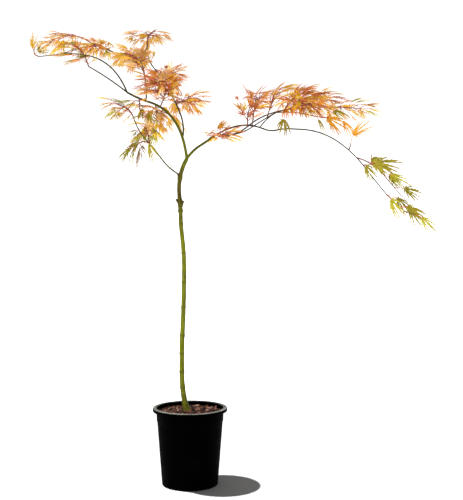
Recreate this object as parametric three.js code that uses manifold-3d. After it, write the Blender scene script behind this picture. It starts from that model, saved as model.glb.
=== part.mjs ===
// Potted weeping maple, a slim grafted standard in a round nursery pot.
//
// Millimetres, +Z up. The origin is the centre of the pot's flat underside, +X is to the
// right of someone standing at the front, and -Y points towards them.
//
// Every limb sets off from a place on another limb and turns steadily through a few headings
// (degrees round from +X towards +Y) and rises (degrees above level). Every foliage mass is
// grown by one seeded rule from a stem that sets off in the same way: side twigs, then leaves
// in opposite pairs, each leaf a thin star of pointed lobes on a three-sided stalk.

import * as THREE from "three";
import { mergeVertices } from "three/addons/utils/BufferGeometryUtils.js";
import Module from "manifold-3d";

// ---------------------------------------------------------------- driving sizes

const SEAT = 0.3; // clear gap between one solid and the next

const POT = {
  height: 195,
  rimRadius: 95,
  rimHeight: 9,
  collarRadius: 86, // wall under the rim
  collarHeight: 34, // the slightly wider band that the next pot nests on
  waistRadius: 83.6, // wall under the collar
  footRadius: 71.5,
  wall: 1.5,
  floor: 2.4,
  drainRadius: 6,
  drainCount: 6,
  drainRing: 55,
  sides: 28,
};

const MIX = {
  edgeHeight: 183, // surface of the potting mix at the wall
  crownHeight: 186, // and round the trunk
  crownRadius: 30,
  lump: 1.6,
};

const LEAF = {
  length: 54, // middle lobe, base to point
  lobes: [0.6, 0.88, 1.0, 0.88, 0.6],
  step: 23, // degrees from one lobe to the next
  notch: 0.3,
  heel: 0.03,
  outward: 0.45, // how strongly blades point away from the trunk
  halfThickness: 1.0,
  droop: 0.2,
};

// turn: the most, in degrees, that a blade bends away from the line of its stalk.
const STALK = { shortest: 15, longest: 27, radius: 0.7, stagger: 1.1, turn: 58 };
const TWIG = { base: 1.8, tip: 1.3, sides: 3 };
const CROWN = { left: -472, right: 640, top: 1185, front: -240, back: 250 };
// How far a blade may rise above and hang below the place on the twig that bears it.
const BAND = { above: 42, below: 50 };
const CLEAR = 1.6; // room kept between a leaf and anything it doesn't grow from
const OWN_CLEAR = -1.2; // and between the lobes of one mass, whose edges may all but meet

const TRUNK = {
  foot: [-8, 0, MIX.crownHeight + SEAT],
  length: 649,
  heading: [0],
  rise: [106, 97, 90, 90, 87, 88, 89, 89, 93, 97, 91, 96, 80, 60],
  radius: [5.9, 5.3, 5.1, 5.1, 4.9, 4.7, 4.5, 4.4, 4.3, 4.3, 4.2, 4.0, 3.9],
  flare: 3.8,
  flareHeight: 11,
  budRings: [61, 100, 147, 193, 265, 329, 404, 478], // heights above the foot
  budSwell: 0.6,
  graft: 533,
  knot: 597,
};

// on: the limb it grows from; at: how far along that limb (0 foot, 1 tip).
const LIMBS = {
  left_bough: {
    on: "trunk", at: 1, length: 248, heading: [156, 198], rise: [83, 71, 48, 16, 27],
    radius: [3.7, 3.4, 2.9, 2.5],
  },
  left_long_bough: {
    on: "left_bough", at: 1, length: 341, heading: [135, 152, 164], rise: [60, 42, 20, 2, -2],
    radius: [2.1, 1.8, 1.5, 1.2],
  },
  left_front_bough: {
    on: "left_bough", at: 1, length: 123, heading: [-148, -130], rise: [32, 14],
    radius: [1.8, 1.4],
  },
  low_left_bough: {
    on: "trunk", at: 0.93, length: 196, heading: [-150, -138], rise: [22, 48, 41, 69],
    radius: [2.1, 1.7, 1.4],
  },
  upright_bough: {
    on: "left_bough", at: 0.22, length: 291, heading: [76, 171, 183], rise: [63, 58, 66, 46, 97],
    radius: [2.1, 1.8, 1.3],
  },
  crown_bough: {
    on: "left_bough", at: 0.79, length: 295, heading: [81, 173, 162], rise: [60, 74, 23, 22, 33],
    radius: [1.8, 1.5, 1.2],
  },
  right_bough: {
    on: "trunk", at: 1, length: 97, heading: [-4, -15], rise: [56, 31, 34],
    radius: [3.6, 3.2, 2.9],
  },
  right_front_bough: {
    on: "right_bough", at: 1, length: 233, heading: [-22, -12],
    rise: [23, 20, 5, -11, -24, 11, -5, -5], radius: [2.3, 2.0, 1.8, 1.7],
  },
  weeping_bough: {
    on: "right_front_bough", at: 1, length: 266, heading: [-15, -6], rise: [-7, -35, -53, -51],
    radius: [1.7, 1.4, 1.2],
  },
  right_back_bough: {
    on: "right_bough", at: 1, length: 255, heading: [26, 31, 17], rise: [-7, 19, 39, 26, 17, 3],
    radius: [2.1, 1.8, 1.5],
  },
  right_middle_bough: {
    on: "right_back_bough", at: 0.19, length: 163, heading: [-26, 4], rise: [1, 31, 30, 9],
    radius: [1.7, 1.3],
  },
  right_link_bough: {
    on: "right_front_bough", at: 0.52, length: 93, heading: [-22, -28], rise: [53, 28, -6],
    radius: [1.5, 1.2],
  },
};

// pairs: leaf pairs along the stem; twigs: side twigs, each with twigPairs of its own;
// bare: the share of the stem before its first leaves; hang: how far the blades droop;
// turn: how far they are turned about their own length; scale: their size.
const SPRAYS = {
  left_tip_spray: {
    on: "left_long_bough", at: 1, length: 52, heading: [183, 20], rise: [5, 80, 40],
    pairs: 3, twigs: 0, twigPairs: 0, bare: 0.3,
    hang: -0.1, outward: -0.3, above: 50, turn: 60, scale: 1.1, seed: 40, tint: "gold",
  },
  far_left_spray: {
    on: "crown_bough", at: 1, length: 96, heading: [168, 168], rise: [22, -3, -31],
    pairs: 4, twigs: 0, twigPairs: 0, bare: 0.15, hang: 0.12, above: 18, seed: 12, tint: "orange",
  },
  upper_left_back_spray: {
    on: "crown_bough", at: 0.68, length: 139, heading: [127, 132], rise: [24, 21],
    pairs: 5, twigs: 0, twigPairs: 1, bare: 0.15, hang: 0.08, above: 22, seed: 13, tint: "orange",
  },
  upper_left_front_spray: {
    on: "crown_bough", at: 0.83, length: 84, heading: [-85, -103], rise: [-14, -14],
    pairs: 3, twigs: 0, twigPairs: 1, bare: 0.2, hang: 0.12, above: 20, seed: 14, tint: "gold",
  },
  top_spray: {
    on: "upright_bough", at: 1, length: 101, heading: [87, 94], rise: [96, 6, 19],
    pairs: 4, twigs: 2, twigPairs: 1, bare: 0.25, hang: 0.08, above: 26, seed: 15, tint: "gold",
  },
  upper_middle_front_spray: {
    on: "crown_bough", at: 0.26, length: 153, heading: [-90, -101], rise: [38, -6, -2],
    pairs: 5, twigs: 1, twigPairs: 1, bare: 0.2,
    hang: 0.03, above: 28, below: 35, seed: 16, tint: "orange",
  },
  upper_middle_back_spray: {
    on: "crown_bough", at: 0.5, length: 144, heading: [95, 109], rise: [22, 18],
    pairs: 5, twigs: 1, twigPairs: 1, bare: 0.2, hang: 0.08, above: 32, seed: 17, tint: "orange",
  },
  heart_front_spray: {
    on: "left_bough", at: 0.63, length: 148, heading: [-63, -108], rise: [32, 14, -1],
    pairs: 6, twigs: 1, twigPairs: 1, bare: 0.2, hang: 0.08, seed: 18, tint: "rust",
  },
  heart_back_spray: {
    on: "upright_bough", at: 0.6, length: 150, heading: [92, 113], rise: [28, 24],
    pairs: 5, twigs: 1, twigPairs: 1, bare: 0.15, hang: 0.1, seed: 19, tint: "rust",
  },
  heart_right_spray: {
    on: "upright_bough", at: 0.38, length: 110, heading: [60, 108], rise: [26, 0],
    pairs: 5, twigs: 1, twigPairs: 1, bare: 0.1, hang: 0.08, above: 42, seed: 20, tint: "rust",
  },
  under_bough_front_spray: {
    on: "left_bough", at: 0.86, length: 112, heading: [-85, -75], rise: [-38, -30],
    pairs: 4, twigs: 0, twigPairs: 0, bare: 0.15, hang: 0.05, below: 40, seed: 61, tint: "gold",
  },
  under_bough_back_spray: {
    on: "left_bough", at: 0.69, length: 117, heading: [86, 104], rise: [-22, -4],
    pairs: 4, twigs: 1, twigPairs: 1, bare: 0.15, hang: 0.3, seed: 22, tint: "gold",
  },
  low_left_tip_spray: {
    on: "low_left_bough", at: 1, length: 63, heading: [-118, -104], rise: [50, -30],
    pairs: 3, twigs: 1, twigPairs: 1, bare: 0.15, hang: 0.3, seed: 23, tint: "gold",
  },
  low_left_front_spray: {
    on: "low_left_bough", at: 0.6, length: 80, heading: [-112, -105], rise: [10, -39],
    pairs: 3, twigs: 0, twigPairs: 0, bare: 0.3,
    hang: 1.2, below: 75, turn: 60, seed: 24, tint: "olive",
  },
  low_left_back_spray: {
    on: "low_left_bough", at: 0.6, length: 80, heading: [98, 114], rise: [46, 32],
    pairs: 2, twigs: 0, twigPairs: 0, bare: 0.4, hang: 0.8, seed: 25, tint: "gold",
  },
  left_front_spray: {
    on: "left_front_bough", at: 1, length: 92, heading: [-97, -116], rise: [40, 4],
    pairs: 4, twigs: 0, twigPairs: 0, bare: 0.1,
    hang: 0.3, below: 40, above: 12, seed: 26, tint: "orange",
  },
  right_fork_spray: {
    on: "right_bough", at: 1, length: 112, heading: [-93, -50], rise: [-12, -2],
    pairs: 5, twigs: 0, twigPairs: 0, bare: 0.1, hang: 0.05, below: 38, seed: 27, tint: "gold",
  },
  right_rise_spray: {
    on: "right_front_bough", at: 0.38, length: 66, heading: [-95, -70], rise: [56, 24],
    pairs: 3, twigs: 0, twigPairs: 0, bare: 0.2, hang: 0.2, above: 30, seed: 28, tint: "orange",
  },
  right_shoulder_spray: {
    on: "right_middle_bough", at: 0.34, length: 128, heading: [60, 94], rise: [78, 58, 14],
    pairs: 5, twigs: 1, twigPairs: 1, bare: 0.3, hang: 0.2, above: 30, seed: 51, tint: "orange",
  },
  right_crest_spray: {
    on: "right_middle_bough", at: 0.62, length: 96, heading: [20, 60], rise: [76, 40],
    pairs: 4, twigs: 1, twigPairs: 1, bare: 0.2, hang: 0.2, above: 30, seed: 70, tint: "orange",
  },
  right_top_spray: {
    on: "right_back_bough", at: 0.87, length: 144, heading: [54, 57], rise: [44, 12],
    pairs: 4, twigs: 1, twigPairs: 1, bare: 0.15, hang: 0.25, above: 34, seed: 30, tint: "orange",
  },
  right_heart_front_spray: {
    on: "right_link_bough", at: 1, length: 112, heading: [-49, -80], rise: [8, -14],
    pairs: 4, twigs: 1, twigPairs: 1, bare: 0.1, hang: 0.35, seed: 31, tint: "orange",
  },
  right_heart_middle_spray: {
    on: "right_middle_bough", at: 1, length: 102, heading: [-3, -16], rise: [36, -8],
    pairs: 4, twigs: 1, twigPairs: 1, bare: 0.1, hang: 0.3, seed: 32, tint: "rust",
  },
  right_end_spray: {
    on: "right_back_bough", at: 1, length: 182, heading: [5, -16], rise: [8, -10],
    pairs: 6, twigs: 1, twigPairs: 1, bare: 0.1, hang: 0.2, seed: 33, tint: "gold",
  },
  right_hang_spray: {
    on: "right_link_bough", at: 0.61, length: 165, heading: [12, 19], rise: [7, -10, 2],
    pairs: 2, twigs: 0, twigPairs: 0, bare: 0.65, hang: 0.9, turn: 60, seed: 34, tint: "gold",
  },
  right_low_spray: {
    on: "right_front_bough", at: 0.75, length: 20, heading: [-60], rise: [60],
    pairs: 0, twigs: 0, twigPairs: 0, bare: 0.6,
    hang: 1.6, outward: 0, above: 60, scale: 1.2, seed: 40, tint: "olive",
  },
  droop_upright_spray: {
    on: "weeping_bough", at: 0.47, length: 24, heading: [-6, 58], rise: [70, 76],
    pairs: 0, twigs: 0, twigPairs: 0, bare: 0.7,
    hang: 0.3, above: 70, turn: 60, seed: 36, tint: "gold",
  },
  droop_upper_spray: {
    on: "weeping_bough", at: 0.66, length: 37, heading: [-61, -50], rise: [10, -51],
    pairs: 1, twigs: 0, twigPairs: 0, bare: 0.3,
    hang: 1.2, outward: 0.8, turn: 75, scale: 1.15, seed: 67, tint: "olive",
  },
  droop_middle_spray: {
    on: "weeping_bough", at: 0.57, length: 178, heading: [27, -15], rise: [-8, -50, -49],
    pairs: 3, twigs: 0, twigPairs: 0, bare: 0.2,
    hang: 0.5, outward: 0.7, turn: 75, scale: 1.3, seed: 38, tint: "olive",
  },
  droop_tip_spray: {
    on: "weeping_bough", at: 1, length: 87, heading: [-22, -4], rise: [-43, -48, -35, -2],
    pairs: 2, twigs: 0, twigPairs: 0, bare: 0.05,
    hang: 0.9, outward: 0.1, below: 62, turn: 75, scale: 1.15, seed: 71, tint: "olive",
  },
};

const FINISH = {
  pot: { color: 0x0b0b0c, roughness: 0.42, metalness: 0 },
  potting_mix: { color: 0x7a4a35, roughness: 0.95, metalness: 0 },
  trunk: { color: 0x6b7420, roughness: 0.7, metalness: 0 },
  bough: { color: 0x4f4a30, roughness: 0.75, metalness: 0 },
  gold: { color: 0xd9a12a, roughness: 0.6, metalness: 0 },
  orange: { color: 0xdd8430, roughness: 0.6, metalness: 0 },
  rust: { color: 0xc9682c, roughness: 0.6, metalness: 0 },
  olive: { color: 0x9a971d, roughness: 0.6, metalness: 0 },
};

const UP = new THREE.Vector3(0, 0, 1);

// ---------------------------------------------------------------- small helpers

// A repeatable run of numbers: each call gives one between low and high.
function seededRandom(seed) {
  let state = seed;
  return (low, high) => {
    state = (state * 1664525 + 1013904223) % 4294967296;
    return low + ((high - low) * state) / 4294967296;
  };
}

// The value a list of evenly spaced values has at t, from 0 at its first to 1 at its last.
function valueAlong(list, t) {
  if (list.length === 1) {
    return list[0];
  }
  const place = t * (list.length - 1);
  const index = THREE.MathUtils.clamp(Math.floor(place), 0, list.length - 2);
  return THREE.MathUtils.lerp(list[index], list[index + 1], place - index);
}

function aimed(headingDegrees, riseDegrees) {
  const heading = THREE.MathUtils.degToRad(headingDegrees);
  const rise = THREE.MathUtils.degToRad(riseDegrees);
  return new THREE.Vector3(
    Math.cos(heading) * Math.cos(rise),
    Math.sin(heading) * Math.cos(rise),
    Math.sin(rise),
  );
}

function radial(radius, degrees, z) {
  const angle = THREE.MathUtils.degToRad(degrees);
  return new THREE.Vector3(radius * Math.cos(angle), radius * Math.sin(angle), z);
}

// ---------------------------------------------------------------- growth paths

const FINEST = 0.02; // edges left by fusing that are shorter than about this are closed up
const LIMB_STEPS = 48;
const TWIG_STEP = 17; // length of one straight joint of a twig
const BOUGH_JOINT = 28; // and of a bough's solid

// The centreline of a limb or twig: it turns through its headings and rises as it goes.
class GrowthPath {
  constructor(start, spec, steps) {
    this.length = spec.length;
    this.steps = steps;
    this.points = [start.clone()];
    for (let step = 0; step < steps; step += 1) {
      const t = (step + 0.5) / steps;
      const way = aimed(valueAlong(spec.heading, t), valueAlong(spec.rise, t));
      this.points.push(this.points[step].clone().addScaledVector(way, spec.length / steps));
    }
  }

  // t may run a little past either end, straight on.
  at(t) {
    const place = t * this.steps;
    const index = THREE.MathUtils.clamp(Math.floor(place), 0, this.steps - 1);
    return this.points[index].clone().lerp(this.points[index + 1], place - index);
  }

  direction(t) {
    const reach = 0.5 / this.steps;
    const ahead = Math.min(t + reach, 1);
    const behind = Math.max(t - reach, 0);
    return this.at(ahead).sub(this.at(behind)).normalize();
  }

  segments(radiusAt) {
    return this.points.slice(1).map((end, index) => ({
      start: this.points[index],
      end,
      radius: radiusAt((index + 0.5) / this.steps),
    }));
  }
}

// Shortest distance between two straight segments.
function segmentDistance(first, second) {
  const u = first.end.clone().sub(first.start);
  const v = second.end.clone().sub(second.start);
  const w = first.start.clone().sub(second.start);
  const a = u.dot(u);
  const b = u.dot(v);
  const c = v.dot(v);
  const d = u.dot(w);
  const e = v.dot(w);
  const slant = a * c - b * b;
  let s = slant > 1e-9 ? THREE.MathUtils.clamp((b * e - c * d) / slant, 0, 1) : 0;
  const t = THREE.MathUtils.clamp((b * s + e) / c, 0, 1);
  s = THREE.MathUtils.clamp((b * t - d) / a, 0, 1);
  return w.addScaledVector(u, s).addScaledVector(v, -t).length();
}

function touches(segment, others, clear = CLEAR) {
  return others.some((other) => {
    const room = segment.radius + other.radius + clear;
    const apart = Math.abs(segment.start.x - other.start.x);
    return apart < 120 && segmentDistance(segment, other) < room;
  });
}

// ---------------------------------------------------------------- solids

const wasm = await Module();
wasm.setup();

// A closed manifold body from a three.js geometry.
function toBody(geometry) {
  const bare = geometry.clone();
  bare.deleteAttribute("normal");
  bare.deleteAttribute("uv");
  const merged = mergeVertices(bare, 1e-4);
  return new wasm.Manifold(new wasm.Mesh({
    numProp: 3,
    vertProperties: new Float32Array(merged.attributes.position.array),
    triVerts: new Uint32Array(merged.index.array),
  }));
}

// The largest of a body's pieces: loose scraps and sealed hollows are left out.
function mainPiece(body) {
  const pieces = body.decompose();
  return pieces.reduce((best, piece) => (piece.volume() > best.volume() ? piece : best));
}

function toGeometry(body) {
  const mesh = body.getMesh();
  const positions = [];
  for (let vertex = 0; vertex < mesh.numVert; vertex += 1) {
    positions.push(...mesh.position(vertex));
  }
  const geometry = new THREE.BufferGeometry();
  geometry.setAttribute("position", new THREE.Float32BufferAttribute(positions, 3));
  geometry.setIndex(Array.from(mesh.triVerts));
  const flat = geometry.toNonIndexed();
  flat.computeVertexNormals();
  return flat;
}

// A closed round bar along a path, one ring of sides at each station (0 to 1).
function barAlong(path, stations, radiusAt, sides, grow = 0) {
  const overrun = grow / path.length;
  const geometry = new THREE.CylinderGeometry(1, 1, 1, sides, stations.length - 1);
  const rings = [];
  let across = new THREE.Vector3(0, 1, 0);
  stations.forEach((t, index) => {
    const along = path.direction(t);
    across = across.clone().addScaledVector(along, -across.dot(along)).normalize();
    const end = index === 0 ? -overrun : index === stations.length - 1 ? overrun : 0;
    rings.push({
      centre: path.at(t + end),
      across,
      beside: along.clone().cross(across),
      radius: radiusAt(t) + grow,
    });
  });
  const position = geometry.attributes.position;
  for (let vertex = 0; vertex < position.count; vertex += 1) {
    const t = position.getY(vertex) + 0.5;
    const ring = rings[Math.round(t * (stations.length - 1))];
    const point = ring.centre.clone()
      .addScaledVector(ring.across, position.getZ(vertex) * ring.radius)
      .addScaledVector(ring.beside, position.getX(vertex) * ring.radius);
    position.setXYZ(vertex, point.x, point.y, point.z);
  }
  return toBody(geometry);
}

function evenStations(count) {
  return Array.from({ length: count + 1 }, (_, index) => index / count);
}

// ---------------------------------------------------------------- pot and potting mix

function lathe(profile, sides) {
  const geometry = new THREE.LatheGeometry(
    profile.map(([radius, z]) => new THREE.Vector2(radius, z)),
    sides,
  );
  return geometry.rotateX(Math.PI / 2);
}

function innerRadius(z) {
  const collarFoot = POT.height - POT.rimHeight - POT.collarHeight + 8;
  const outer = z > collarFoot
    ? THREE.MathUtils.mapLinear(z, collarFoot, POT.height, POT.waistRadius + 1.4, POT.collarRadius)
    : THREE.MathUtils.mapLinear(z, 0, collarFoot, POT.footRadius, POT.waistRadius);
  return outer - POT.wall;
}

function makePot() {
  const rimFoot = POT.height - POT.rimHeight;
  const collarFoot = rimFoot - POT.collarHeight + 8;
  const profile = [
    [0, 0],
    [POT.footRadius - 3, 0],
    [POT.footRadius, 3],
    [POT.waistRadius, collarFoot],
    [POT.waistRadius + 1.4, collarFoot + 3],
    [POT.collarRadius, rimFoot],
    [POT.rimRadius, rimFoot],
    [POT.rimRadius, POT.height - 2],
    [POT.rimRadius - 2, POT.height],
    [innerRadius(POT.height), POT.height],
    [innerRadius(collarFoot + 3), collarFoot + 3],
    [innerRadius(collarFoot), collarFoot],
    [innerRadius(POT.floor), POT.floor],
    [0, POT.floor],
  ];
  let body = toBody(lathe(profile, POT.sides));
  for (let hole = 0; hole < POT.drainCount; hole += 1) {
    const place = radial(POT.drainRing, (hole * 360) / POT.drainCount, POT.floor / 2);
    const drain = new THREE.CylinderGeometry(POT.drainRadius, POT.drainRadius, POT.floor * 3, 8);
    drain.rotateX(Math.PI / 2).translate(place.x, place.y, place.z);
    body = body.subtract(toBody(drain));
  }
  return body;
}

function makePottingMix() {
  const random = seededRandom(5);
  const collarFoot = POT.height - POT.rimHeight - POT.collarHeight + 8;
  const floor = POT.floor + SEAT;
  const wallGap = SEAT * 1.4;
  const profile = [
    [0, floor],
    [innerRadius(floor) - wallGap, floor],
    [innerRadius(collarFoot) - wallGap, collarFoot],
    [innerRadius(collarFoot + 3) - wallGap, collarFoot + 3],
    [innerRadius(MIX.edgeHeight) - wallGap, MIX.edgeHeight],
  ];
  const lumpRings = [70, 57, 43];
  lumpRings.forEach((radius) => {
    const share = (radius - MIX.crownRadius) / (innerRadius(MIX.edgeHeight) - MIX.crownRadius);
    profile.push([radius, THREE.MathUtils.lerp(MIX.crownHeight, MIX.edgeHeight, share)]);
  });
  profile.push([MIX.crownRadius, MIX.crownHeight], [0, MIX.crownHeight]);
  const geometry = mergeVertices(bareLathe(profile), 1e-4);
  const position = geometry.attributes.position;
  for (let vertex = 0; vertex < position.count; vertex += 1) {
    const point = new THREE.Vector3().fromBufferAttribute(position, vertex);
    const out = Math.hypot(point.x, point.y);
    if (out > MIX.crownRadius + 1 && out < lumpRings[0] + 1 && point.z > MIX.edgeHeight - 1) {
      position.setZ(vertex, point.z + random(-MIX.lump, MIX.lump));
    }
  }
  return toBody(geometry);
}

function bareLathe(profile) {
  const geometry = lathe(profile, POT.sides);
  geometry.deleteAttribute("normal");
  geometry.deleteAttribute("uv");
  return geometry;
}

// ---------------------------------------------------------------- trunk and boughs

function swell(distance, centre, halfLength) {
  return Math.exp(-(((distance - centre) / halfLength) ** 2));
}

function trunkRadius(t) {
  const height = Math.max(t, 0) * TRUNK.length;
  const rings = TRUNK.budRings.reduce((sum, ring) => sum + swell(height, ring, 3.5), 0);
  return valueAlong(TRUNK.radius, t)
    + TRUNK.flare * Math.exp(-height / TRUNK.flareHeight)
    + TRUNK.budSwell * rings
    + 1.5 * swell(height, TRUNK.graft, 9)
    + 1.6 * swell(height, TRUNK.knot, 6);
}

function trunkStations() {
  const heights = [-6, 0, 5, 12, 25, TRUNK.length];
  TRUNK.budRings.forEach((ring) => heights.push(ring - 5, ring, ring + 5));
  [TRUNK.graft, TRUNK.knot].forEach((place) => {
    heights.push(place - 12, place - 5, place + 3, place + 11);
  });
  [82, 124, 170, 229, 297, 367, 441, 505, 565, 622, 636].forEach((z) => heights.push(z));
  return [...new Set(heights)].sort((a, b) => a - b).map((height) => height / TRUNK.length);
}

const paths = { trunk: new GrowthPath(new THREE.Vector3(...TRUNK.foot), TRUNK, LIMB_STEPS) };
Object.entries(LIMBS).forEach(([name, spec]) => {
  paths[name] = new GrowthPath(paths[spec.on].at(spec.at), spec, LIMB_STEPS);
});

function limbRadius(name) {
  return name === "trunk" ? trunkRadius : (t) => valueAlong(LIMBS[name].radius, t);
}

function limbBody(name, grow) {
  if (name === "trunk") {
    return barAlong(paths.trunk, trunkStations(), trunkRadius, 7, grow);
  }
  const stations = evenStations(Math.round(LIMBS[name].length / BOUGH_JOINT));
  return barAlong(paths[name], stations, limbRadius(name), 6, grow);
}

// A short cut stub left by pruning, standing out from the trunk.
function stub(height, headingDegrees, length, radius) {
  const t = height / TRUNK.length;
  const spec = { length, heading: [headingDegrees], rise: [38] };
  const path = new GrowthPath(paths.trunk.at(t), spec, 2);
  return barAlong(path, evenStations(2), () => radius, 6);
}

// Everything below the foot of the trunk, to cut it flat just clear of the potting mix.
function belowSoil() {
  const depth = 60;
  const block = new THREE.BoxGeometry(depth, depth, depth);
  return toBody(block.translate(TRUNK.foot[0], TRUNK.foot[1], TRUNK.foot[2] - depth / 2));
}

const limbBodies = {};
const limbKeepouts = [];
["trunk", ...Object.keys(LIMBS)].forEach((name) => {
  let body = limbBody(name, 0);
  if (name === "trunk") {
    body = body
      .add(stub(TRUNK.graft - 2, 20, 9.5, 2.2))
      .add(stub(TRUNK.graft + 6, 190, 8, 1.6))
      .add(stub(TRUNK.knot + 5, 120, 9, 1.9))
      .subtract(belowSoil());
  }
  limbKeepouts.forEach((keepout) => {
    body = body.subtract(keepout);
  });
  limbBodies[name] = mainPiece(body);
  limbKeepouts.push(limbBody(name, SEAT));
});

// ---------------------------------------------------------------- leaves and sprays

// The star's rim: one side of the heel, the lobe points with the notches between them, and the
// heel's other side.
function leafRim(leaf) {
  const count = LEAF.lobes.length;
  const rim = [{ angle: 90, reach: LEAF.heel }];
  LEAF.lobes.forEach((reach, lobe) => {
    const angle = ((count - 1) / 2 - lobe) * LEAF.step * leaf.spread;
    rim.push({ angle, reach });
    if (lobe < count - 1) {
      rim.push({ angle: angle - (LEAF.step * leaf.spread) / 2, reach: LEAF.notch });
    }
  });
  rim.push({ angle: -90, reach: LEAF.heel });
  return rim.map(({ angle, reach }) => {
    const turn = THREE.MathUtils.degToRad(angle);
    return leaf.base.clone()
      .addScaledVector(leaf.forward, reach * leaf.size * Math.cos(turn))
      .addScaledVector(leaf.side, reach * leaf.size * Math.sin(turn))
      .addScaledVector(leaf.normal, -LEAF.droop * reach * reach * leaf.size);
  });
}

// The corners of a three-sided stalk where it is cut square to the way it runs.
function stalkRing(leaf, way) {
  const turn = new THREE.Quaternion().setFromUnitVectors(leaf.forward, way);
  const top = leaf.normal.clone().applyQuaternion(turn);
  const side = leaf.side.clone().applyQuaternion(turn);
  return [0, 1, 2].map((corner) => {
    const angle = (corner * 2 * Math.PI) / 3;
    return leaf.root.clone()
      .addScaledVector(top, STALK.radius * Math.cos(angle))
      .addScaledVector(side, -STALK.radius * Math.sin(angle));
  });
}

// A leaf and its stalk as one closed body. Both faces of the blade fan out from its base. The
// heel is a four-cornered cut square to the blade, and the stalk runs back from it, narrowing to
// its three corners, and ends inside the twig it grows from.
function leafBody(leaf) {
  const rim = leafRim(leaf);
  const top = leaf.base.clone().addScaledVector(leaf.normal, LEAF.halfThickness);
  const under = leaf.base.clone().addScaledVector(leaf.normal, -LEAF.halfThickness);
  const way = leaf.base.clone().sub(leaf.root).normalize();
  const last = rim.length - 1;
  const [topIndex, underIndex] = [last + 1, last + 2];
  const [rootTop, rootRight, rootLeft] = [last + 3, last + 4, last + 5];
  const faces = [];
  for (let index = 0; index < last; index += 1) {
    faces.push([topIndex, index, index + 1], [underIndex, index + 1, index]);
  }
  faces.push([topIndex, last, rootRight], [last, underIndex, rootRight]);
  faces.push([underIndex, 0, rootLeft], [0, topIndex, rootTop]);
  faces.push([topIndex, rootRight, rootTop], [underIndex, rootLeft, rootRight]);
  faces.push([0, rootTop, rootLeft], [rootTop, rootRight, rootLeft]);
  const geometry = new THREE.BufferGeometry()
    .setFromPoints([...rim, top, under, ...stalkRing(leaf, way)]);
  geometry.setIndex(faces.flat());
  return toBody(geometry);
}

function awayFromTrunk(point) {
  return new THREE.Vector3(point.x - TRUNK.foot[0], point.y - TRUNK.foot[1], 0).normalize();
}

// One leaf on a stalk from `root`, or null where it would leave the crown or touch something.
function growLeaf(root, along, sideways, habit, random, others, own) {
  const open = THREE.MathUtils.degToRad(random(38, 66));
  const stalkWay = along.clone().multiplyScalar(Math.cos(open))
    .addScaledVector(sideways, Math.sin(open))
    .addScaledVector(UP, random(0.05, 0.3) - 0.35 * habit.hang)
    .normalize();
  const stalk = random(STALK.shortest, STALK.longest) * habit.scale;
  const wanted = stalkWay.clone()
    .addScaledVector(along, random(0, 0.5))
    .addScaledVector(awayFromTrunk(root), habit.outward)
    .addScaledVector(UP, -habit.hang * random(0.6, 1.4))
    .normalize();
  const bend = stalkWay.angleTo(wanted);
  const most = THREE.MathUtils.degToRad(STALK.turn);
  const forward = bend > most
    ? stalkWay.clone().applyAxisAngle(stalkWay.clone().cross(wanted).normalize(), most)
    : wanted;
  const roll = THREE.MathUtils.degToRad(random(-40, 40) + habit.turn);
  const level = Math.abs(forward.z) < 0.9 ? UP : along;
  const normal = level.clone().addScaledVector(forward, -level.dot(forward)).normalize()
    .applyAxisAngle(forward, roll);
  const leaf = {
    root,
    base: root.clone().addScaledVector(stalkWay, stalk),
    forward,
    normal,
    side: forward.clone().cross(normal),
    size: LEAF.length * random(0.78, 1.12) * habit.scale,
    spread: random(0.72, 1.05),
  };
  const rim = leafRim(leaf);
  const points = rim.filter((_, index) => index % 2 === 1);
  const inside = points.every((point) => (
    point.x > CROWN.left && point.x < CROWN.right && point.z < CROWN.top
    && point.z < root.z + habit.above && point.z > root.z - habit.below
    && point.y > CROWN.front && point.y < CROWN.back
  ));
  leaf.lobes = points.map((point) => ({ start: leaf.base, end: point, radius: 2.6 }));
  const clearOfTwig = root.clone().addScaledVector(stalkWay, 5);
  const bareStalk = { start: clearOfTwig, end: leaf.base, radius: STALK.radius };
  leaf.segments = [...leaf.lobes, bareStalk];
  const free = inside
    && leaf.segments.every((segment) => !touches(segment, others))
    && leaf.lobes.every((lobe) => !touches(lobe, own, OWN_CLEAR));
  return free ? leaf : null;
}

// Leaves in opposite pairs along a twig, each pair turned a quarter from the last, and one
// at the tip. A leaf with no room is tried again turned on round the twig, then left out.
function leafTwig(twig, habit, random, others, own) {
  const leaves = [];
  const tries = 4;
  const place = (t, sideways) => {
    const along = twig.path.direction(t);
    for (let turn = 0; turn < tries; turn += 1) {
      const way = sideways.clone().applyAxisAngle(along, turn * 0.9);
      const leaf = growLeaf(twig.path.at(t), along, way, habit, random, others, own);
      if (leaf) {
        own.push(...leaf.segments);
        leaves.push(leaf);
        return;
      }
    }
  };
  for (let pair = 0; pair < twig.pairs; pair += 1) {
    const t = THREE.MathUtils.lerp(twig.bare, 0.96, pair / twig.pairs);
    const along = twig.path.direction(t);
    const level = along.clone().cross(UP).normalize();
    const turn = (pair % 2) * 1.2 + random(-0.35, 0.35);
    const sideways = level.applyAxisAngle(along, turn);
    const stagger = STALK.stagger / twig.path.length;
    place(t + stagger, sideways);
    place(t - stagger, sideways.clone().negate());
  }
  const along = twig.path.direction(1);
  const tipWay = along.clone().cross(UP).normalize().applyAxisAngle(along, random(-0.5, 0.5));
  place(0.985, tipWay.multiplyScalar(0.25));
  return leaves;
}

function stemPath(spec) {
  const joints = Math.max(2, Math.round(spec.length / TWIG_STEP));
  return new GrowthPath(paths[spec.on].at(spec.at), spec, joints);
}

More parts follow.
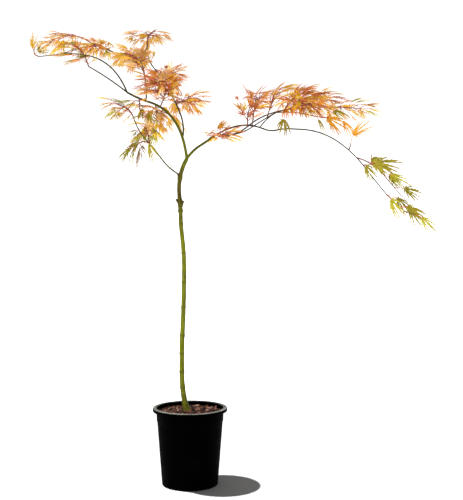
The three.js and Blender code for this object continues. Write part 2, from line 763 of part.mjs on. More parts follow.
// A foliage mass: its stem, side twigs to either hand, and the leaves on all of them.
function growSpray(spec, stem, others) {
  const random = seededRandom(spec.seed);
  const twigs = [{ path: stem, pairs: spec.pairs, bare: spec.bare, base: TWIG.base }];
  for (let count = 0; count < spec.twigs; count += 1) {
    const t = THREE.MathUtils.lerp(spec.bare + 0.08, 0.8, count / spec.twigs);
    const side = (count % 2) * 2 - 1;
    const way = stem.direction(t);
    const heading = THREE.MathUtils.radToDeg(Math.atan2(way.y, way.x));
    const rise = THREE.MathUtils.radToDeg(Math.asin(way.z));
    const twigSpec = {
      length: random(34, 46),
      heading: [heading + side * random(50, 75), heading + side * random(25, 50)],
      rise: [rise + random(0, 25), rise - random(0, 25)],
    };
    const path = new GrowthPath(stem.at(t), twigSpec, 3);
    const reach = path.segments(() => TWIG.base).slice(1);
    if (!reach.some((segment) => touches(segment, others))) {
      twigs.push({ path, pairs: spec.twigPairs, bare: 0.5, base: TWIG.base * 0.85 });
    }
  }
  const own = [];
  const habit = {
    hang: spec.hang,
    outward: spec.outward ?? LEAF.outward,
    turn: spec.turn ?? 0,
    scale: spec.scale ?? 1,
    above: spec.above ?? BAND.above,
    below: spec.below ?? BAND.below,
  };
  const leaves = twigs.flatMap((twig) => leafTwig(twig, habit, random, others, own));
  return { twigs, leaves };
}

function twigRadius(twig) {
  return (t) => THREE.MathUtils.lerp(twig.base, TWIG.tip, t);
}

function twigBody(twig) {
  return barAlong(twig.path, evenStations(twig.path.steps), twigRadius(twig), TWIG.sides);
}

// Fuses a mass, leaving out any leaf whose solid comes within SEAT of another node.
function sprayBody(spray, bodies) {
  let body = spray.twigs.map(twigBody).reduce((sum, twig) => sum.add(twig));
  limbKeepouts.forEach((keepout) => {
    body = body.subtract(keepout);
  });
  const pieces = [mainPiece(body)];
  spray.leaves = spray.leaves.filter((leaf) => {
    const solid = leafBody(leaf);
    const free = bodies.every((other) => solid.minGap(other, 2 * SEAT) > SEAT);
    if (free) {
      pieces.push(solid);
    }
    return free;
  });
  return mainPiece(wasm.Manifold.union(pieces).simplify(FINEST));
}

const limbSegments = Object.entries(paths).flatMap(([name, path]) => (
  path.segments(limbRadius(name))
));
const stems = Object.fromEntries(
  Object.entries(SPRAYS).map(([name, spec]) => [name, stemPath(spec)]),
);
const sprayBodies = {};
const taken = [...limbSegments];
Object.entries(SPRAYS).forEach(([name, spec]) => {
  const otherStems = Object.keys(SPRAYS).filter((other) => other !== name)
    .flatMap((other) => stems[other].segments(() => TWIG.base));
  const spray = growSpray(spec, stems[name], [...taken, ...otherStems]);
  const built = [...Object.values(limbBodies), ...Object.values(sprayBodies)];
  sprayBodies[name] = sprayBody(spray, built);
  spray.twigs.forEach((twig) => taken.push(...twig.path.segments(twigRadius(twig))));
  spray.leaves.forEach((leaf) => taken.push(...leaf.segments));
});

// ---------------------------------------------------------------- the object

const group = new THREE.Group();

function addNode(name, body, finish) {
  const material = new THREE.MeshStandardMaterial(FINISH[finish]);
  const mesh = new THREE.Mesh(toGeometry(body), material);
  mesh.name = name;
  group.add(mesh);
}

addNode("pot", makePot(), "pot");
addNode("potting_mix", makePottingMix(), "potting_mix");
Object.entries(limbBodies).forEach(([name, body]) => {
  addNode(name, body, name === "trunk" ? "trunk" : "bough");
});
Object.entries(sprayBodies).forEach(([name, body]) => {
  addNode(name, body, SPRAYS[name].tint);
});

export default group;
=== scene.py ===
# %% [markdown]
# # A potted weeping maple
# A young weeping maple with finely cut autumn leaves stands in a round nursery pot. The packed
# CAD model is loaded first, as a frame that never moves: it says where the pot, the stem, each
# bough and each foliage mass is. Everything after that puts a finer surface in the same place.

import math

import bmesh
import bpy
import numpy as np
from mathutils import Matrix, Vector, noise


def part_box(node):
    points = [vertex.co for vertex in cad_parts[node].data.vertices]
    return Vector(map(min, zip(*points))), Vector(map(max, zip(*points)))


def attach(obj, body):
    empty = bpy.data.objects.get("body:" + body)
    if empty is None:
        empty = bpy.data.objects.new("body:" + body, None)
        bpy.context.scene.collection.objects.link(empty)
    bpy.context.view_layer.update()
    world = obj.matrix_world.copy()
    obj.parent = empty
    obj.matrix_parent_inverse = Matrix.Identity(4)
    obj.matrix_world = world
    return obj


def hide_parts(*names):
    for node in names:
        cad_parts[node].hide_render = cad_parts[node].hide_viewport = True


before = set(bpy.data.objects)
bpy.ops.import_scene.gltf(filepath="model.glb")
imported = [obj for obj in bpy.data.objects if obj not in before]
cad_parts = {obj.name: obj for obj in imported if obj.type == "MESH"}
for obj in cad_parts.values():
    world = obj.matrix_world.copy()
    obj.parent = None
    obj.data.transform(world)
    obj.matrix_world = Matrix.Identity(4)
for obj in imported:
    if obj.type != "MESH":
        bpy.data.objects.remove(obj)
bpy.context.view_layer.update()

# %% [markdown]
# ## Small helpers
# Every object is linked to the scene at the origin. Every node is made in one call: its kind, its
# inputs, each a plain value or the socket that feeds it, and its settings. A node that is given
# as an input stands for its first output.

# %% Objects and nodes
def add_object(name, data):
    obj = bpy.data.objects.new(name, data)
    bpy.context.scene.collection.objects.link(obj)
    return obj


def feed(tree, node, inputs):
    """Sets a node's inputs to plain values, or links sockets and nodes to them."""
    for label, value in inputs.items():
        if isinstance(value, bpy.types.Node):
            value = value.outputs[0]
        if isinstance(value, bpy.types.NodeSocket):
            tree.links.new(value, node.inputs[label])
        else:
            node.inputs[label].default_value = value


def add_node(tree, kind, inputs=(), **settings):
    node = tree.nodes.new(kind)
    for name, value in settings.items():
        setattr(node, name, value)
    feed(tree, node, dict(inputs))
    return node


def node_group(name, kind, inputs, outputs):
    """A group, its ways in and its output node; an input is a number or a socket's type."""
    group = bpy.data.node_groups.new(name, kind)
    for label, given in inputs.items():
        what = given if isinstance(given, str) else {float: "Float", int: "Int"}[type(given)]
        socket = group.interface.new_socket(
            label, in_out="INPUT", socket_type="NodeSocket" + what)
        if what != given:
            socket.default_value = given
    for label, what in outputs.items():
        group.interface.new_socket(label, in_out="OUTPUT", socket_type="NodeSocket" + what)
    return group, group.nodes.new("NodeGroupInput").outputs, group.nodes.new("NodeGroupOutput")


print("helpers for objects and nodes ready")

# %% [markdown]
# ## Camera, light and floor
# The camera stands level, two metres in front of the pot, with a short telephoto lens, so that
# nothing leans. A pale floor that curves up behind the pot has no edge to see. One broad sun from
# the upper left lights the plant, a second one gives the pot its short shadow, and a bright sky
# round about fills the rest, as a white studio does.

# %% Camera
CAMERA_PLACE = (0.1059, -2.0, 0.58)
CAMERA_LENS = 56.3
CAMERA_RISE = 0.013  # a slight rise of the lens, so that the view itself stays level

camera_data = bpy.data.cameras.new("studio_camera")
camera = add_object("studio_camera", camera_data)
camera.location = CAMERA_PLACE
camera.rotation_euler = (math.pi / 2, 0.0, 0.0)
camera_data.sensor_width = 36.0
camera_data.lens = CAMERA_LENS
camera_data.shift_y = CAMERA_RISE
camera_data.clip_start, camera_data.clip_end = 0.05, 60.0
bpy.context.scene.camera = camera
print("camera at", CAMERA_PLACE, "lens", CAMERA_LENS)

# %% Sky
WHITE = (1.0, 1.0, 1.0, 1.0)
SKY_FILL = 0.5  # the sky's light on the plant; the camera sees a plain white one

bpy.context.scene.view_settings.view_transform = "Standard"
world = bpy.data.worlds.new("studio_sky")
bpy.context.scene.world = world
world.use_nodes = True
sky = world.node_tree
sky_fill = sky.nodes["Background"]
feed(sky, sky_fill, {"Color": WHITE, "Strength": SKY_FILL})
sky_seen = add_node(sky, "ShaderNodeBackground", {"Color": WHITE, "Strength": 1.0})
seen_by = add_node(sky, "ShaderNodeLightPath").outputs["Is Camera Ray"]
sky_choice = add_node(sky, "ShaderNodeMixShader", {"Fac": seen_by, 1: sky_fill, 2: sky_seen})
feed(sky, sky.nodes["World Output"], {"Surface": sky_choice})
print("sky fill", SKY_FILL)


# %% Suns
def sun_light(name, towards, energy, spread):
    """A sun that shines along towards, with an angular width in degrees."""
    data = bpy.data.lights.new(name, "SUN")
    data.energy, data.angle = energy, math.radians(spread)
    lamp = add_object(name, data)
    lamp.rotation_mode = "QUATERNION"
    lamp.rotation_quaternion = Vector(towards).to_track_quat("-Z", "Y")
    return lamp


plant_sun = sun_light("plant_sun", (0.45, 0.62, -0.72), 2.4, 12)
floor_sun = sun_light("floor_sun", (0.44, -0.10, -1.0), 16.0, 1.6)
print("plant sun", plant_sun.data.energy, "floor sun", floor_sun.data.energy)


# %% Mesh helpers
def mesh_object(name, vertices, faces=(), edges=(), smooth=True):
    """A new mesh object at the origin."""
    mesh = bpy.data.meshes.new(name)
    mesh.from_pydata([tuple(v) for v in vertices], edges, [tuple(f) for f in faces])
    mesh.validate()
    mesh.polygons.foreach_set("use_smooth", [smooth] * len(mesh.polygons))
    return add_object(name, mesh)


def grid_faces(rows, columns, closed=True):
    """Quads between neighbouring rows of points; closed joins the last column to the first."""
    faces = []
    for row in range(rows - 1):
        for column in range(columns if closed else columns - 1):
            beside = (column + 1) % columns
            low, high = row * columns, (row + 1) * columns
            faces.append((low + column, low + beside, high + beside, high + column))
    return faces


# %% Material helpers
def ramp(tree, value, low, high, to_low=0.0, to_high=1.0):
    """Spreads low..high of a value over to_low..to_high, held level beyond."""
    return add_node(tree, "ShaderNodeMapRange", {
        "Value": value, "From Min": low, "From Max": high, "To Min": to_low, "To Max": to_high})


def blank_material(name):
    material = bpy.data.materials.new(name)
    material.use_nodes = True
    return material, material.node_tree


print("helpers for meshes and materials ready")

# %% Floor
FLOOR_HALF_WIDTH = 9.0
FLOOR_TONE = 0.24
GLOW_START, GLOW_FULL = 0.75, 1.6  # m from the pot where the lit sweep takes over from the floor
FLOOR_FRONT, FLOOR_BACK = -4.0, 5.0
COVE_RADIUS, COVE_STEPS = 3.0, 12
WALL_TOP = 8.0

cove = [(FLOOR_FRONT, 0.0)]
for step in range(COVE_STEPS + 1):
    turn = math.radians(90 * step / COVE_STEPS)
    cove.append((FLOOR_BACK + COVE_RADIUS * math.sin(turn), COVE_RADIUS * (1 - math.cos(turn))))
cove.append((FLOOR_BACK + COVE_RADIUS, WALL_TOP))
floor_points = [(x, y, z) for y, z in cove for x in (-FLOOR_HALF_WIDTH, FLOOR_HALF_WIDTH)]
floor = mesh_object("studio_floor", floor_points, grid_faces(len(cove), 2, closed=False))
floor_paint, tree = blank_material("floor_paint")
place = add_node(tree, "ShaderNodeTexCoord").outputs["Object"]
from_pot = add_node(tree, "ShaderNodeVectorMath", {0: place}, operation="LENGTH").outputs["Value"]
feed(tree, tree.nodes["Principled BSDF"], {
    "Base Color": (FLOOR_TONE, FLOOR_TONE, FLOOR_TONE, 1.0), "Roughness": 0.95,
    "Specular IOR Level": 0.0, "Emission Strength": 1.0,
    "Emission Color": ramp(tree, from_pot, GLOW_START, GLOW_FULL)})
floor.data.materials.append(floor_paint)
print("floor", FLOOR_HALF_WIDTH * 2, "m wide, with a cove of", COVE_RADIUS, "m")

# %% [markdown]
# ## The rule that the plant grows by
# A tree is too irregular to place leaf by leaf, yet it isn't random: each limb bends steadily, and
# leaves come in opposite pairs. So the plant is grown. A path turns through a few headings
# (degrees round from +X towards +Y) and rises (degrees above level). A seeded row of numbers
# decides the small differences, so each run grows the same plant. These are the same steps and
# sizes, in millimetres, that made the CAD solids, so what grows here lands on them.

# %% Seeded numbers and growth paths
MM = 0.001  # the plant's own sizes are in millimetres, the scene's in metres
UP = np.array([0.0, 0.0, 1.0])
STEP_FACTOR, STEP_SHIFT, STEP_RANGE = 1664525, 1013904223, 2 ** 32  # of the row of numbers
NEIGHBOUR_RANGE = 120.0  # mm in x beyond which two rods can't touch


def seeded(seed):
    """A repeatable run of numbers: each call gives one between low and high."""
    state = [seed]

    def draw(low, high):
        state[0] = (state[0] * STEP_FACTOR + STEP_SHIFT) % STEP_RANGE
        return low + (high - low) * state[0] / STEP_RANGE

    return draw


def lerp(a, b, t):
    return a * (1 - t) + b * t


def value_along(values, t):
    """The value an evenly spaced list has at t, from 0 at its first to 1 at its last."""
    if len(values) == 1:
        return values[0]
    place = t * (len(values) - 1)
    index = min(max(math.floor(place), 0), len(values) - 2)
    return lerp(values[index], values[index + 1], place - index)


def aimed(heading, rise):
    heading, rise = math.radians(heading), math.radians(rise)
    level = math.cos(rise)
    return np.array([math.cos(heading) * level, math.sin(heading) * level, math.sin(rise)])


def aim_of(way):
    """The heading and the rise of a direction, in degrees."""
    return math.degrees(math.atan2(way[1], way[0])), math.degrees(math.asin(way[2]))


def unit(vector):
    return vector / math.sqrt(float(vector @ vector))


def turned(vector, axis, angle):
    """vector turned about a unit axis."""
    cos, sin = math.cos(angle), math.sin(angle)
    return vector * cos + np.cross(axis, vector) * sin + axis * float(axis @ vector) * (1 - cos)


class GrowthPath:
    """The centreline of a limb or twig, in straight joints, in millimetres."""

    def __init__(self, start, length, heading, rise, steps):
        self.length, self.steps = length, steps
        points = [np.array(start, float)]
        for step in range(steps):
            t = (step + 0.5) / steps
            way = aimed(value_along(heading, t), value_along(rise, t))
            points.append(points[-1] + way * (length / steps))
        self.points = np.array(points)

    def at(self, t):
        place = t * self.steps
        index = min(max(math.floor(place), 0), self.steps - 1)
        return lerp(self.points[index], self.points[index + 1], place - index)

    def direction(self, t):
        reach = 0.5 / self.steps
        return unit(self.at(min(t + reach, 1.0)) - self.at(max(t - reach, 0.0)))

    def rods(self, radius_at):
        """Its joints as rows of start, end and radius."""
        middles = (np.arange(self.steps) + 0.5) / self.steps
        radii = np.array([radius_at(t) for t in middles])
        return np.column_stack([self.points[:-1], self.points[1:], radii])


def touches(rod, others, clear):
    """Whether a rod comes nearer than clear to any of the others."""
    near = others[np.abs(others[:, 0] - rod[0]) < NEIGHBOUR_RANGE]
    if not len(near):
        return False
    start, u = rod[:3], rod[3:6] - rod[:3]
    v, w = near[:, 3:6] - near[:, :3], start - near[:, :3]
    a, b, c = float(u @ u), v @ u, (v * v).sum(1)
    d, e = w @ u, (v * w).sum(1)
    slant = a * c - b * b
    with np.errstate(divide="ignore", invalid="ignore"):
        s = np.where(slant > 1e-9, np.clip((b * e - c * d) / slant, 0, 1), 0.0)
    t = np.clip((b * s + e) / c, 0, 1)
    s = np.clip((b * t - d) / a, 0, 1)
    gap = np.linalg.norm(w + np.outer(s, u) - v * t[:, None], axis=1)
    return bool((gap < rod[6] + near[:, 6] + clear).any())


print("first numbers of seed 11:", [round(seeded(11)(0, 1), 4)])

# %% [markdown]
# ## Stem and boughs
# The bare stem is one straight graft stock, a little crooked, that flares at the soil and carries
# ringed bud scars. Above the graft it forks, and every bough sets off from a place on the one
# before. Each limb has a start, a length, a few headings and rises, and a few radii.

# %% Limbs
LIMB_STEPS = 48
TRUNK = {
    "foot": (-8.0, 0.0, 186.3), "length": 649.0, "heading": [0],
    "rise": [106, 97, 90, 90, 87, 88, 89, 89, 93, 97, 91, 96, 80, 60],
    "radius": [5.9, 5.3, 5.1, 5.1, 4.9, 4.7, 4.5, 4.4, 4.3, 4.3, 4.2, 4.0, 3.9],
}
FLARE, FLARE_HEIGHT = 3.8, 11.0
BUD_RINGS = [61, 100, 147, 193, 265, 329, 404, 478]  # heights above the foot
BUD_SWELL, BUD_HALF_LENGTH = 0.6, 3.5
GRAFT, KNOT = 533.0, 597.0  # heights above the foot
UNIONS = [(1.5, GRAFT, 9), (1.6, KNOT, 6)]  # swelling, height and half length of each
OLD_BARK = [0.85]

# Each row: the limb it grows on and how far along that, its length, its headings, its rises, its
# radii, and its age: how far the bark has gone from young green (0) to dark grey brown (1).
LIMB_KEYS = ("on", "at", "length", "heading", "rise", "radius", "age")
LIMB_ROWS = {
    "left_bough": ("trunk", 1, 248, [156, 198], [83, 71, 48, 16, 27],
        [3.7, 3.4, 2.9, 2.5], [0.12, 0.2, 0.6, 0.9]),
    "left_long_bough": ("left_bough", 1, 341, [135, 152, 164], [60, 42, 20, 2, -2],
        [2.1, 1.8, 1.5, 1.2], OLD_BARK),
    "left_front_bough": ("left_bough", 1, 123, [-148, -130], [32, 14], [1.8, 1.4], OLD_BARK),
    "low_left_bough": ("trunk", 0.93, 196, [-150, -138], [22, 48, 41, 69],
        [2.1, 1.7, 1.4], [0.75, 0.5, 0.45]),
    "upright_bough": ("left_bough", 0.22, 291, [76, 171, 183], [63, 58, 66, 46, 97],
        [2.1, 1.8, 1.3], OLD_BARK),
    "crown_bough": ("left_bough", 0.79, 295, [81, 173, 162], [60, 74, 23, 22, 33],
        [1.8, 1.5, 1.2], OLD_BARK),
    "right_bough": ("trunk", 1, 97, [-4, -15], [56, 31, 34], [3.6, 3.2, 2.9], [0.3, 0.5, 0.7]),
    "right_front_bough": ("right_bough", 1, 233, [-22, -12], [23, 20, 5, -11, -24, 11, -5, -5],
        [2.3, 2.0, 1.8, 1.7], OLD_BARK),
    "weeping_bough": ("right_front_bough", 1, 266, [-15, -6], [-7, -35, -53, -51],
        [1.7, 1.4, 1.2], OLD_BARK),
    "right_back_bough": ("right_bough", 1, 255, [26, 31, 17], [-7, 19, 39, 26, 17, 3],
        [2.1, 1.8, 1.5], OLD_BARK),
    "right_middle_bough": ("right_back_bough", 0.19, 163, [-26, 4], [1, 31, 30, 9],
        [1.7, 1.3], OLD_BARK),
    "right_link_bough": ("right_front_bough", 0.52, 93, [-22, -28], [53, 28, -6],
        [1.5, 1.2], OLD_BARK),
}
LIMBS = {name: dict(zip(LIMB_KEYS, row)) for name, row in LIMB_ROWS.items()}


def swell(distance, centre, half_length):
    return math.exp(-(((distance - centre) / half_length) ** 2))


def trunk_radius(t):
    height = max(t, 0.0) * TRUNK["length"]
    rings = sum(swell(height, ring, BUD_HALF_LENGTH) for ring in BUD_RINGS)
    flare = FLARE * math.exp(-height / FLARE_HEIGHT)
    unions = sum(size * swell(height, place, reach) for size, place, reach in UNIONS)
    return value_along(TRUNK["radius"], t) + flare + BUD_SWELL * rings + unions


def limb_radius(name):
    if name == "trunk":
        return trunk_radius
    return lambda t: value_along(LIMBS[name]["radius"], t)


def path_from(spec, steps):
    """The path of a limb or a stem, from its place on the limb that carries it."""
    start = paths[spec["on"]].at(spec["at"])
    return GrowthPath(start, spec["length"], spec["heading"], spec["rise"], steps)


paths = {"trunk": GrowthPath(
    TRUNK["foot"], TRUNK["length"], TRUNK["heading"], TRUNK["rise"], LIMB_STEPS)}
for limb, spec in LIMBS.items():
    paths[limb] = path_from(spec, LIMB_STEPS)
print(len(paths), "limbs; the stem ends at", paths["trunk"].points[-1].round(1), "mm")

# %% [markdown]
# ## Foliage masses
# Each tassel of foliage hangs on one stem with a few side twigs, and keeps to a space of its own.
# The rows below say where each stem sets off and how it bends, how many leaf pairs it bears, how
# much its blades hang, and which autumn tints it has turned.

# %% Masses
# Each row: the limb it grows on and how far along that, its length, headings and rises, its leaf
# pairs, its side twigs, the share of it that is bare before the first leaves, how far its blades
# hang, its seed, the tints that its leaves take in turn, and where it differs from USUAL.
SPRAY_KEYS = (
    "on", "at", "length", "heading", "rise", "pairs", "twigs", "bare", "hang", "seed", "tints")
USUAL = {
    "outward": 0.45,  # how strongly the blades turn away from the stem's axis
    "above": 42.0, "below": 50.0,  # mm of room over and under a stalk's root for its blade
    "turn": 0,  # degrees that the blades are turned about their own length
    "scale": 1.0,  # of leaves and stalks
    "open": False,  # a few open, thin-lobed leaves, with no fine shoots among them
    "fine": 1.0,  # fine shoots, as a share of the usual number
}
SPRAY_ROWS = {
    "left_tip_spray": ("left_long_bough", 1, 52, [183, 20], [5, 80, 40], 3, 0, 0.3, -0.1, 40,
        "lime gold", dict(outward=-0.3, above=50, turn=60, scale=1.1, open=True)),
    "far_left_spray": ("crown_bough", 1, 96, [168, 168], [22, -3, -31], 4, 0, 0.15, 0.12, 12,
        "gold amber peach", dict(above=18)),
    "upper_left_back_spray": ("crown_bough", 0.68, 139, [127, 132], [24, 21], 5, 0, 0.15, 0.08, 13,
        "gold amber peach", dict(above=22)),
    "upper_left_front_spray": ("crown_bough", 0.83, 84, [-85, -103], [-14, -14], 3, 0, 0.2, 0.12,
        14, "gold lime orange", dict(above=20)),
    "top_spray": ("upright_bough", 1, 101, [87, 94], [96, 6, 19], 4, 2, 0.25, 0.08, 15,
        "gold peach", dict(above=26, fine=1.3)),
    "upper_middle_front_spray": ("crown_bough", 0.26, 153, [-90, -101], [38, -6, -2], 5, 1, 0.2,
        0.03, 16, "peach gold", dict(above=28, below=35, fine=1.5)),
    "upper_middle_back_spray": ("crown_bough", 0.5, 144, [95, 109], [22, 18], 5, 1, 0.2, 0.08, 17,
        "peach gold peach orange", dict(above=32, fine=1.6)),
    "heart_front_spray": ("left_bough", 0.63, 148, [-63, -108], [32, 14, -1], 6, 1, 0.2, 0.08, 18,
        "rust gold peach orange", dict(fine=1.6)),
    "heart_back_spray": ("upright_bough", 0.6, 150, [92, 113], [28, 24], 5, 1, 0.15, 0.1, 19,
        "orange peach amber coral", dict(fine=1.6)),
    "heart_right_spray": ("upright_bough", 0.38, 110, [60, 108], [26, 0], 5, 1, 0.1, 0.08, 20,
        "gold peach amber orange", dict(above=42, fine=1.4)),
    "under_bough_front_spray": ("left_bough", 0.86, 112, [-85, -75], [-38, -30], 4, 0, 0.15, 0.05,
        61, "lime gold olive amber", dict(below=40)),
    "under_bough_back_spray": ("left_bough", 0.69, 117, [86, 104], [-22, -4], 4, 1, 0.15, 0.3, 22,
        "gold amber peach", {}),
    "low_left_tip_spray": ("low_left_bough", 1, 63, [-118, -104], [50, -30], 3, 1, 0.15, 0.3, 23,
        "lime olive gold amber", {}),
    "low_left_front_spray": ("low_left_bough", 0.6, 80, [-112, -105], [10, -39], 3, 0, 0.3, 1.2, 24,
        "olive lime brown", dict(below=75, turn=60, open=True)),
    "low_left_back_spray": ("low_left_bough", 0.6, 80, [98, 114], [46, 32], 2, 0, 0.4, 0.8, 25,
        "gold lime olive", {}),
    "left_front_spray": ("left_front_bough", 1, 92, [-97, -116], [40, 4], 4, 0, 0.1, 0.3, 26,
        "orange gold olive", dict(above=12, below=40)),
    "right_fork_spray": ("right_bough", 1, 112, [-93, -50], [-12, -2], 5, 0, 0.1, 0.05, 27,
        "gold amber coral", dict(below=38)),
    "right_rise_spray": ("right_front_bough", 0.38, 66, [-95, -70], [56, 24], 3, 0, 0.2, 0.2, 28,
        "rust orange gold amber", dict(above=30)),
    "right_shoulder_spray": ("right_middle_bough", 0.34, 128, [60, 94], [78, 58, 14], 5, 1, 0.3,
        0.2, 51, "orange amber rust", dict(above=30)),
    "right_crest_spray": ("right_middle_bough", 0.62, 96, [20, 60], [76, 40], 4, 1, 0.2, 0.2, 70,
        "gold amber peach", dict(above=30)),
    "right_top_spray": ("right_back_bough", 0.87, 144, [54, 57], [44, 12], 4, 1, 0.15, 0.25, 30,
        "orange gold amber", dict(above=34)),
    "right_heart_front_spray": ("right_link_bough", 1, 112, [-49, -80], [8, -14], 4, 1, 0.1, 0.35,
        31, "orange gold amber rust", {}),
    "right_heart_middle_spray": ("right_middle_bough", 1, 102, [-3, -16], [36, -8], 4, 1, 0.1, 0.3,
        32, "rust orange gold amber", {}),
    "right_end_spray": ("right_back_bough", 1, 182, [5, -16], [8, -10], 6, 1, 0.1, 0.2, 33,
        "gold peach amber lime", {}),
    "right_hang_spray": ("right_link_bough", 0.61, 165, [12, 19], [7, -10, 2], 2, 0, 0.65, 0.9, 34,
        "amber olive", dict(turn=60, open=True)),
    "right_low_spray": ("right_front_bough", 0.75, 20, [-60], [60], 0, 0, 0.6, 1.6, 40,
        "olive", dict(outward=0, above=60, scale=1.2, open=True)),
    "droop_upright_spray": ("weeping_bough", 0.47, 24, [-6, 58], [70, 76], 0, 0, 0.7, 0.3, 36,
        "amber", dict(above=70, turn=60, open=True)),
    "droop_upper_spray": ("weeping_bough", 0.66, 37, [-61, -50], [10, -51], 1, 0, 0.3, 1.2, 67,
        "olive", dict(outward=0.8, turn=75, scale=1.15, open=True)),
    "droop_middle_spray": ("weeping_bough", 0.57, 178, [27, -15], [-8, -50, -49], 3, 0, 0.2, 0.5,
        38, "olive lime", dict(outward=0.7, turn=75, scale=1.3, open=True)),
    "droop_tip_spray": ("weeping_bough", 1, 87, [-22, -4], [-43, -48, -35, -2], 2, 0, 0.05, 0.9, 71,
        "lime olive", dict(outward=0.1, below=62, turn=75, scale=1.15, open=True)),
}
SPRAYS = {name: {**USUAL, **dict(zip(SPRAY_KEYS, row)), **row[-1]}
          for name, row in SPRAY_ROWS.items()}
print(len(SPRAYS), "foliage masses")

# %% Sizes of leaf, stalk and twig
LEAF_LENGTH = 54.0  # middle lobe, base to point
LEAF_SIZES = (0.78, 1.12)  # a leaf's share of that length
LOBES = [0.6, 0.88, 1.0, 0.88, 0.6]
LOBE_STEP = 23.0  # degrees from one lobe to the next, when the leaf lies open
LOBE_SPREADS = (0.72, 1.05)  # how far a leaf lies open
LEAF_DROOP = 0.2  # how far a lobe hangs below its plane, times the square of its reach
LEAF_LEANS = (0, 0.5)  # how far a blade follows its twig
LEAF_HANGS = (0.6, 1.4)  # a leaf's share of its mass's hang
LEAF_ROLLS = (-40, 40)  # degrees about its own length
STALK_OPENINGS = (38, 66)  # degrees from the twig
STALK_LIFTS, STALK_HANG = (0.05, 0.3), 0.35  # how far it rises, and sinks in a hanging mass
STALK_LENGTHS, STALK_RADIUS = (15.0, 27.0), 0.7
STALK_FREE = 5.0  # mm at its root where it may touch its twig
STALK_STAGGER = 1.1  # mm by which each stalk of a pair stands off the pair's middle
STALK_TURN = math.radians(58)  # the most that a blade bends from its stalk
# Radians round the twig: for every second pair, for each new try, and by chance.
PAIR_TURN, TRY_TURN, PAIR_STRAY, TIP_STRAY = 1.2, 0.9, (-0.35, 0.35), (-0.5, 0.5)
LAST_PAIR, TIP_LEAF = 0.96, 0.985  # places along the twig
TIP_OPENING = 0.25  # how far the leaf at the tip turns from the twig
NEARLY_UPRIGHT = 0.9  # past this rise, a blade faces by its twig and not by the vertical
TWIG_BASE, TWIG_TIP, TWIG_STEP = 1.8, 1.3, 17.0  # radii, and the mm to one joint of a stem
TWIG_LENGTHS, TWIG_BARE, TWIG_THINNER = (34, 46), 0.5, 0.85
TWIG_START, LAST_TWIG = 0.08, 0.8  # past the bare part of the stem, and along the whole stem
SHOOT_JOINTS = 3
TWIG_TURNS, TWIG_RISES = [(50, 75), (25, 50)], [(0, 25), (0, -25)]  # degrees, foot and tip
CROWN_LOW = np.array([-472.0, -240.0, -1e9])
CROWN_HIGH = np.array([640.0, 250.0, 1185.0])
CLEAR, OWN_CLEAR = 1.6, -1.2  # mm kept to neighbours and to the mass's own leaves
LOBE_ROOM = 2.6  # mm of room round a lobe
print("leaves", LEAF_LENGTH, "mm long on stalks of", STALK_LENGTHS, "mm")


# %% One leaf
def lobe_tips(leaf):
    """The points of a leaf's lobes, in millimetres."""
    tips = []
    for lobe, reach in enumerate(LOBES):
        turn = math.radians((2 - lobe) * LOBE_STEP * leaf["spread"])
        tips.append(
            leaf["base"]
            + leaf["forward"] * (reach * leaf["size"] * math.cos(turn))
            + leaf["side"] * (reach * leaf["size"] * math.sin(turn))
            - leaf["normal"] * (LEAF_DROOP * reach * reach * leaf["size"]))
    return np.array(tips)


def leaves_space(tips, root, habit):
    """Whether any lobe's point is out of its mass's space or of its own band."""
    outside = (tips <= habit["low"]) | (tips >= habit["high"])
    over = tips[:, 2] >= root[2] + habit["above"]
    return bool(outside.any() or over.any() or (tips[:, 2] <= root[2] - habit["below"]).any())


def grow_leaf(root, along, sideways, habit, draw, others, own):
    """One leaf on a stalk from root, or None where it would leave its space or touch."""
    opening = math.radians(draw(*STALK_OPENINGS))
    way = unit(
        along * math.cos(opening) + sideways * math.sin(opening)
        + UP * (draw(*STALK_LIFTS) - STALK_HANG * habit["hang"]))
    stalk = draw(*STALK_LENGTHS) * habit["scale"]
    away = np.array([root[0] - TRUNK["foot"][0], root[1] - TRUNK["foot"][1], 0.0])
    wanted = way + along * draw(*LEAF_LEANS) + unit(away) * habit["outward"]
    wanted = unit(wanted - UP * (habit["hang"] * draw(*LEAF_HANGS)))
    bend = math.acos(min(max(float(way @ wanted), -1.0), 1.0))
    forward = wanted
    if bend > STALK_TURN:
        forward = turned(way, unit(np.cross(way, wanted)), STALK_TURN)
    roll = math.radians(draw(*LEAF_ROLLS))
    faced = roll + math.radians(habit["turn"])
    level = UP if abs(forward[2]) < NEARLY_UPRIGHT else along
    normal = turned(unit(level - forward * float(level @ forward)), forward, faced)
    leaf = {
        "root": root, "way": way, "base": root + way * stalk, "forward": forward,
        "normal": normal, "side": np.cross(forward, normal), "roll": roll, "open": habit["open"],
        "size": LEAF_LENGTH * draw(*LEAF_SIZES) * habit["scale"], "spread": draw(*LOBE_SPREADS),
    }
    tips = lobe_tips(leaf)
    if leaves_space(tips, root, habit):
        return None
    lobes = [np.array([*leaf["base"], *tip, habit["lobe_room"]]) for tip in tips]
    stalk_rod = np.array([*(root + way * STALK_FREE), *leaf["base"], STALK_RADIUS])
    leaf["rods"] = lobes + [stalk_rod]
    if any(touches(rod, others, habit["clear"]) for rod in leaf["rods"]):
        return None
    if len(own) and any(touches(rod, np.array(own), habit["own_clear"]) for rod in lobes):
        return None
    return leaf


